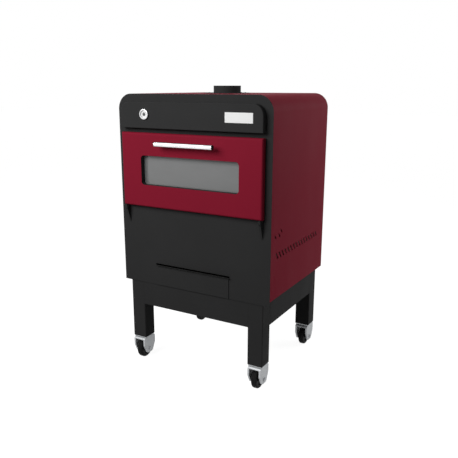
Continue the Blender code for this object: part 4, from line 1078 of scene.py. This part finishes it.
class OVEN_OT_door(OvenStep):
    """Outer pan, window, inner pan and seal"""

    bl_idname = "oven.door"
    bl_label = "Door"
    WINDOW_OVERLAP = 0.015
    WINDOW_FOLD = 0.0012
    GLASS_CORNER = 0.033
    GLASS_EDGE = 0.0006
    PLUG_GAP = 0.0003
    FLANGE_CORNER = 0.009
    PLUG_EDGE = 0.003
    ROPE_WIDTH = 0.014
    ROPE_EDGE = 0.0019
    SCREW_PLACES = (-0.385, -0.2, 0, 0.2, 0.385)
    SCREW_INSET = 0.013
    SCREW_RISE = 0.0024

    def execute(self, context):
        sizes = settings("door")
        low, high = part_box("door_skin")
        window = grown("door_glass", -self.WINDOW_OVERLAP)
        bench = Bench()
        bench.pan(low, high)
        bench.round_front(low.y, sizes.edge, 8)
        face = max(bench.mesh.faces, key=lambda f: f.calc_area())
        ring = bench.ring(on_front(low.y, *window), sizes.window_corner, 10)
        bench.pierce(face, ring)
        bench.fold(ring, Y * self.WINDOW_FOLD)
        bench.done("door_pan", "red enamel", "door", ["door_skin"], sizes.wall)
        self.opening(sizes, window)
        self.inside(sizes, window)
        return {"FINISHED"}

    def opening(self, sizes, window):
        """The jamb and its web, and the glass behind them."""
        low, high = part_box("window_jamb")
        wall = sizes.wall
        (x0, z0), (x1, z1) = window
        bench = Bench()
        outer = on_front(low.y, (x0 - wall, z0 - wall), (x1 + wall, z1 + wall))
        outer = (outer, sizes.window_corner + wall, 10)
        inner = (on_front(low.y, *window), sizes.window_corner, 10)
        bench.pierced_plate(outer, inner, Y * (high.y - low.y))
        bench.done("jamb", "black paint", "door", ["window_jamb"])
        web = Bench()
        outer = (on_front(high.y - wall, low.xz, high.xz), sizes.plug_corner - wall, 6)
        inner = (on_front(high.y - wall, *window), sizes.window_corner, 10)
        web.pierced_plate(outer, inner, Y * wall)
        web.done("jamb_web", "black paint", "door")
        low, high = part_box("door_glass")
        pane = Bench()
        face = pane.face(on_front(low.y, low.xz, high.xz), self.GLASS_CORNER, 8)
        pane.thicken([face], Y * (high.y - low.y))
        pane.round(pane.sharp(60), self.GLASS_EDGE, 2)
        pane.done("window_glass", "glass", "door", ["door_glass"])

    def inside(self, sizes, window):
        """The inner pan that fills the mouth, and the rope seal round it."""
        low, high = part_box("door_frame")
        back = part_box("door_skin")[1].y
        plug_low, plug_high = grown("window_jamb", sizes.wall + self.PLUG_GAP)
        bench = Bench()
        flange = bench.face(on_front(back, low.xz, high.xz), self.FLANGE_CORNER, 6)
        rim = bench.ring(on_front(back, plug_low, plug_high), sizes.plug_corner, 8)
        bench.pierce(flange, rim)
        far = bench.fold(rim, Y * (high.y - back))
        sight = bench.ring(on_front(high.y, *window), sizes.window_corner, 10)
        made = bmesh.ops.edgeloop_fill(bench.mesh, edges=far)
        bench.mesh.normal_update()
        bench.pierce(made["faces"][0], sight)
        bench.outward()
        widest = max(bench.mesh.faces, key=lambda f: f.calc_area() * abs(f.normal.y))
        bench.look(widest, Y)
        edges = bench.sharp(50, lambda spot: abs(spot.y - high.y) < WELD)
        bench.round(edges, self.PLUG_EDGE, 4)
        bench.done("inner_pan", "hot steel", "door", ["door_frame"], sizes.wall)
        heads = Bench()
        for x in self.SCREW_PLACES:
            for z in (low.z + self.SCREW_INSET, high.z - self.SCREW_INSET):
                heads.screw((x, back, z), Y, 0, self.SCREW_RISE)
        heads.done("door_screws", "zinc", "door")
        self.seal(sizes)

    def seal(self, sizes):
        low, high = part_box("door_rope_seal")
        width = self.ROPE_WIDTH
        bench = Bench()
        outer = (on_front(low.y, low.xz, high.xz), sizes.plug_corner + width, 10)
        inner = (on_front(low.y, *grown("door_rope_seal", -width)), sizes.plug_corner, 10)
        bench.pierced_plate(outer, inner, Y * (high.y - low.y))
        bench.round(bench.sharp(60), self.ROPE_EDGE, 4)
        bench.done("rope_seal", "rope", "door", ["door_rope_seal"])


class OVEN_OT_handle(OvenStep):
    """Bar, end caps and posts"""

    bl_idname = "oven.handle"
    bl_label = "Handle"
    BAR_EDGE = 0.0008
    CAP_EDGE = 0.0010
    BUTTON_RADIUS = 0.004
    BUTTON_EDGE = 0.0008
    POST_FLARE = 0.0015
    POST_EDGE = 0.0006

    def execute(self, context):
        low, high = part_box("handle_bar")
        centre = (low + high) / 2
        radius = (high.y - low.y) / 2
        half = (high.x - low.x) / 2
        bench = Bench()
        edge = self.BAR_EDGE
        bench.turn(mirrored([(0, half), (radius - edge, half), (radius, half - edge)]), centre, X, 64)
        bench.done("bar", "polished steel", "door", ["handle_bar"])
        for side, sign in SIDES.items():
            self.cap(side, sign, centre, radius)
            self.post(side)
        return {"FINISHED"}

    def cap(self, side, sign, centre, radius):
        low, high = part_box(f"handle_end_cap_{side}")
        near = min(abs(low.x), abs(high.x))
        far = max(abs(low.x), abs(high.x))
        bench = Bench()
        button, edge, rim = self.BUTTON_RADIUS, self.BUTTON_EDGE, self.CAP_EDGE
        profile = [(0, far), (button - edge, far), (button, far - edge), (button, far - rim)]
        profile += [(radius - rim, far - rim), (radius, far - 2 * rim), (radius, near), (0, near)]
        bench.turn([(out, up * sign) for out, up in profile], (0, centre.y, centre.z), X, 48)
        bench.done(f"cap_{side}", "black plastic", "door", [f"handle_end_cap_{side}"])

    def post(self, side):
        low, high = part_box(f"handle_post_{side}")
        centre = (low + high) / 2
        radius = (high.x - low.x) / 2
        bench = Bench()
        flare, edge = self.POST_FLARE, self.POST_EDGE
        profile = [(0, high.y), (radius + flare, high.y), (radius, high.y - flare)]
        profile += [(radius, low.y + edge), (radius - edge, low.y), (0, low.y)]
        bench.turn(profile, (centre.x, 0, centre.z), Y, 32)
        # Painted shade: black paint on the steel post, so the part seen over the bar reads as shadow.
        bench.done(f"post_{side}", "black steel", "door", [f"handle_post_{side}"])


class OVEN_OT_hinge(OvenStep):
    """Hinge lugs with their pins, and the door's leaves"""

    bl_idname = "oven.hinge"
    bl_label = "Hinge"
    LUG_EDGE = 0.0005
    LEAF_EDGE = 0.0003

    def execute(self, context):
        for side in SIDES:
            rounded_copy(f"hinge_lug_{side}", f"lug_{side}", "black paint", "body", self.LUG_EDGE)
            rounded_copy(f"door_hinge_leaf_{side}", f"leaf_{side}", "black leaf", "door", self.LEAF_EDGE)
        return {"FINISHED"}


class OVEN_OT_ash_drawer(OvenStep):
    """Drawer front with its lip, and the tray's rails"""

    bl_idname = "oven.ash_drawer"
    bl_label = "Ash drawer"
    FRONT_WALL = 0.0037
    LIP_WALL = 0.0025
    LIP_OVERHANG = 0.009
    RAIL_EDGE = 0.0005

    def execute(self, context):
        sizes = settings("body")
        low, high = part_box("ash_drawer_front")
        root = high.z - sizes.lip_rise + sizes.lip_lift
        tip = high.z + sizes.lip_lift
        wall = self.LIP_WALL
        front = Bench()
        front.block(
            (low.x + self.LIP_OVERHANG, high.y - self.FRONT_WALL, low.z),
            (high.x - self.LIP_OVERHANG, high.y, root),
        )
        profile = ((low.y, tip), (high.y, root), (high.y, root - wall), (low.y, tip - wall))
        end = front.face([(low.x, y, z) for y, z in profile])
        front.thicken([end], X * (high.x - low.x))
        front.round(front.sharp(50), sizes.sheet_edge, 2)
        front.done("drawer_front", "black paint", "ash_drawer", ["ash_drawer_front"])
        for side in SIDES:
            rounded_copy(f"drawer_rail_{side}", f"rail_{side}", "brushed steel", "body", self.RAIL_EDGE)
        return {"FINISHED"}


class OVEN_OT_flue(OvenStep):
    """Flue collar and its flange"""

    bl_idname = "oven.flue"
    bl_label = "Flue"
    FLANGE_GAP = 0.0003
    COLLAR_WALL = 0.002
    SCREWS = 8
    SCREW_SPAN = (-0.0002, 0.0022)

    def execute(self, context):
        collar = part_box("flue_collar")[1].x
        for node, name, edge in (("flue_flange", "flange", 0.0009), ("flue_collar", "collar", 0.0008)):
            low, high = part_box(node)
            centre = (low + high) / 2
            out = (high.x - low.x) / 2
            bore = collar + self.FLANGE_GAP if name == "flange" else out - self.COLLAR_WALL
            half = (high.z - low.z) / 2
            bench = Bench()
            bench.turn([(bore, half), (out, half), (out, -half), (bore, -half)], centre, Z, 96, closed=True)
            bench.round(bench.sharp(60), edge, 3)
            bench.done(name, "black paint", "body", [node])
        heads = Bench()
        low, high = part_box("flue_flange")
        centre = (low + high) / 2
        reach = (collar + high.x) / 2
        for index in range(self.SCREWS):
            angle = math.tau * (index + 0.5) / self.SCREWS
            x, y = centre.x + reach * math.cos(angle), centre.y + reach * math.sin(angle)
            heads.screw((x, y, high.z), Z, *self.SCREW_SPAN)
        heads.done("flange_screws", "black paint", "body")
        return {"FINISHED"}


class OVEN_OT_cooking(OvenStep):
    """Racks, grids and the charcoal grate"""

    bl_idname = "oven.cooking"
    bl_label = "Racks and grids"
    RACK_EDGE = 0.0006
    GRATE_EDGE = 0.0015
    ROD_SPACES = 27
    ROD_RADIUS = 0.003
    TIE_SHARES = (0.33, 0.67)

    def execute(self, context):
        for side in SIDES:
            rounded_copy(f"rack_runner_{side}", f"rack_{side}", "brushed steel", "body", self.RACK_EDGE)
        for level in ("lower", "upper"):
            self.grid(level)
        rounded_copy("charcoal_grate", "grate", "cast iron", "body", self.GRATE_EDGE)
        return {"FINISHED"}

    def grid(self, level):
        """A welded grid: a square frame of thick rod with thinner rods across it."""
        low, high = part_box(f"cooking_grid_{level}")
        thick = (high.z - low.z) / 2
        rod = self.ROD_RADIUS
        z = low.z + thick
        bench = Bench()
        for y in (low.y + thick, high.y - thick):
            bench.rod((low.x, y, z), (high.x, y, z), thick, 12)
        for x in (low.x + thick, high.x - thick):
            bench.rod((x, low.y + thick, z), (x, high.y - thick, z), thick, 12)
        for index in range(1, self.ROD_SPACES):
            x = low.x + thick + (high.x - low.x - 2 * thick) * index / self.ROD_SPACES
            bench.rod((x, low.y + thick, z), (x, high.y - thick, z), rod, 8)
        for share in self.TIE_SHARES:
            y = low.y + (high.y - low.y) * share
            bench.rod((low.x + thick, y, z - rod / 2), (high.x - thick, y, z - rod / 2), rod / 2, 8)
        bench.done(f"grid_{level}", "drawn steel", "body", [f"cooking_grid_{level}"])


class OVEN_OT_base(OvenStep):
    """Legs and aprons"""

    bl_idname = "oven.base"
    bl_label = "Base"
    APRON_EDGE = 0.0008
    APRON_REACH = 0.0030
    LEG_WALL = 0.003
    LEG_CORNER = 0.005
    LEG_INNER_CORNER = 0.0022

    def execute(self, context):
        for corner in CORNERS:
            self.leg(corner)
        for side in ("front", "rear", "left", "right"):
            apron = Bench().copy_of(f"apron_{side}")
            self.close(apron, side)
            apron.round(apron.sharp(50), self.APRON_EDGE, 2)
            apron.done(f"rail_{side}_apron", "black paint", "body", [f"apron_{side}"])
        return {"FINISHED"}

    def close(self, bench, side):
        """Lets an apron's two ends meet the legs, as welded ends do."""
        low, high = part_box(f"apron_{side}")
        axis = 0 if high.x - low.x > high.y - low.y else 1
        middle = (low[axis] + high[axis]) / 2
        for spot in bench.mesh.verts:
            spot.co[axis] += math.copysign(self.APRON_REACH, spot.co[axis] - middle)

    def leg(self, corner):
        low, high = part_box(f"leg_{corner}")
        bench = Bench()
        outer = (on_top(high.z, low, high), self.LEG_CORNER, 8)
        inner = (on_top(high.z, low, high, self.LEG_WALL), self.LEG_INNER_CORNER, 4)
        bench.pierced_plate(outer, inner, -Z * (high.z - low.z))
        bench.done(f"leg_tube_{corner}", "black paint", "body", [f"leg_{corner}"])


class OVEN_OT_casters(OvenStep):
    """Top plates, forks, axles, wheels and tyres"""

    bl_idname = "oven.casters"
    bl_label = "Casters"
    PLATE_WALL = 0.005
    PLATE_EDGE = 0.0006
    BOLT_REACH = 0.031
    BOLT_RADIUS = 0.0058
    BOLT_CROWN_RADIUS = 0.0035
    BOLT_RISE = 0.0020
    RACE_RADIUS = 0.026
    RACE_BORE = 0.007
    STEM_RADIUS = 0.011
    STEM_DROP = 0.0113
    TYRE_HALF = 0.016
    SHOULDER_TURNS = (90, 72, 54, 36, 18, 4)

    def execute(self, context):
        edge = settings("casters").fork_edge
        for corner in CORNERS:
            self.head(corner)
            rounded_copy(f"caster_fork_{corner}", f"fork_{corner}", "zinc", f"fork_{corner}", edge)
            self.wheel(corner)
        return {"FINISHED"}

    def head(self, corner):
        sizes = settings("casters")
        low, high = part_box(f"caster_head_{corner}")
        centre = (low + high) / 2
        under = high.z - self.PLATE_WALL
        bench = Bench()
        face = bench.face(on_top(high.z, low, high), sizes.plate_corner, 6)
        bench.thicken([face], -Z * self.PLATE_WALL)
        bench.round(bench.sharp(60), self.PLATE_EDGE, 2)
        reach = (-self.BOLT_REACH, self.BOLT_REACH)
        for x in reach:
            for y in reach:
                spot = (centre.x + x, centre.y + y)
                top, tip = (*spot, under + 0.0002), (*spot, under - self.BOLT_RISE)
                bench.rod(top, tip, self.BOLT_RADIUS, 20, self.BOLT_CROWN_RADIUS)
        bench.done(f"top_plate_{corner}", "zinc", "body", [f"caster_head_{corner}"])
        race = Bench()
        fork_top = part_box(f"caster_fork_{corner}")[1].z
        race_low, stem_top = fork_top + 0.0004, fork_top - self.STEM_DROP
        radius, bore, stem = self.RACE_RADIUS, self.RACE_BORE, self.STEM_RADIUS
        profile = [(0, under), (radius, under), (radius, race_low + 0.0010), (radius - 0.001, race_low)]
        profile += [(bore, race_low), (bore, stem_top), (stem, stem_top), (stem, low.z + 0.0006)]
        profile += [(stem - 0.0006, low.z), (0, low.z)]
        race.turn(profile, (centre.x, centre.y, 0), Z, 48)
        race.done(f"race_{corner}", "brushed steel", "body")

    def wheel(self, corner):
        sizes = settings("casters")
        low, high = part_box(f"caster_wheel_{corner}")
        centre = (low + high) / 2
        radius = (high.z - low.z) / 2
        half = self.TYRE_HALF
        shoulder = sizes.tyre_shoulder
        inner = radius - shoulder, half - shoulder
        turns = [math.radians(turn) for turn in self.SHOULDER_TURNS]
        arc = [(inner[0] + shoulder * math.cos(t), inner[1] + shoulder * math.sin(t)) for t in turns]
        groove = radius - sizes.groove
        tread = [(radius - 0.0002, 0.0052), (groove, 0.0046), (groove, 0.0034), (radius, 0.0028)]
        profile = mirrored([(0.040, half - 0.0006), (0.0406, half), *arc, *tread])
        tyre = Bench()
        tyre.turn(profile, centre, X, 72, closed=True)
        tyre.done(f"tyre_{corner}", "rubber", f"wheel_{corner}", [f"caster_wheel_{corner}"])
        hub_half = (high.x - low.x) / 2
        upper = [(0.0065, hub_half), (0.0158, hub_half), (0.017, hub_half - 0.001), (0.0178, 0.009)]
        upper += [(0.0205, 0.0070), (0.0330, 0.0070), (0.0360, 0.0082)]
        profile = mirrored([*upper, (0.0375, half - 0.0012), (0.0398, half - 0.0008)])
        hub = Bench()
        hub.turn(profile, centre, X, 60, closed=True)
        hub.done(f"wheel_centre_{corner}", "black plastic", f"wheel_{corner}")


class OVEN_PT_panel(bpy.types.Panel):
    """Lists the steps of the oven"""

    bl_idname = "OVEN_PT_panel"
    bl_label = "Charcoal oven"
    bl_space_type = "VIEW_3D"
    bl_region_type = "UI"
    bl_category = "Oven"

    def draw(self, context):
        for group in GROUPS:
            box = self.layout.box()
            held = settings(group)
            for key in held.__annotations__:
                box.prop(held, key)
        for step in STEPS:
            self.layout.operator(step.bl_idname)


GROUPS = {
    "body": OvenBodySizes,
    "door": OvenDoorSizes,
    "dial": OvenDialSizes,
    "casters": OvenCasterSizes,
    "colours": OvenColours,
    "studio": OvenStudio,
}
STEPS = (
    OVEN_OT_stage,
    OVEN_OT_finishes,
    OVEN_OT_jacket,
    OVEN_OT_front,
    OVEN_OT_thermometer,
    OVEN_OT_door,
    OVEN_OT_handle,
    OVEN_OT_hinge,
    OVEN_OT_ash_drawer,
    OVEN_OT_flue,
    OVEN_OT_cooking,
    OVEN_OT_base,
    OVEN_OT_casters,
)


def register():
    for group, kind in GROUPS.items():
        bpy.utils.register_class(kind)
        setattr(bpy.types.Scene, "oven_" + group, PointerProperty(type=kind))
    for step in STEPS:
        bpy.utils.register_class(step)
    bpy.utils.register_class(OVEN_PT_panel)


def unregister():
    bpy.utils.unregister_class(OVEN_PT_panel)
    for step in reversed(STEPS):
        bpy.utils.unregister_class(step)
    for group, kind in reversed(GROUPS.items()):
        delattr(bpy.types.Scene, "oven_" + group)
        bpy.utils.unregister_class(kind)


def main():
    register()
    for step in STEPS:
        family, name = step.bl_idname.split(".")
        getattr(getattr(bpy.ops, family), name)()


if __name__ == "__main__":
    main()
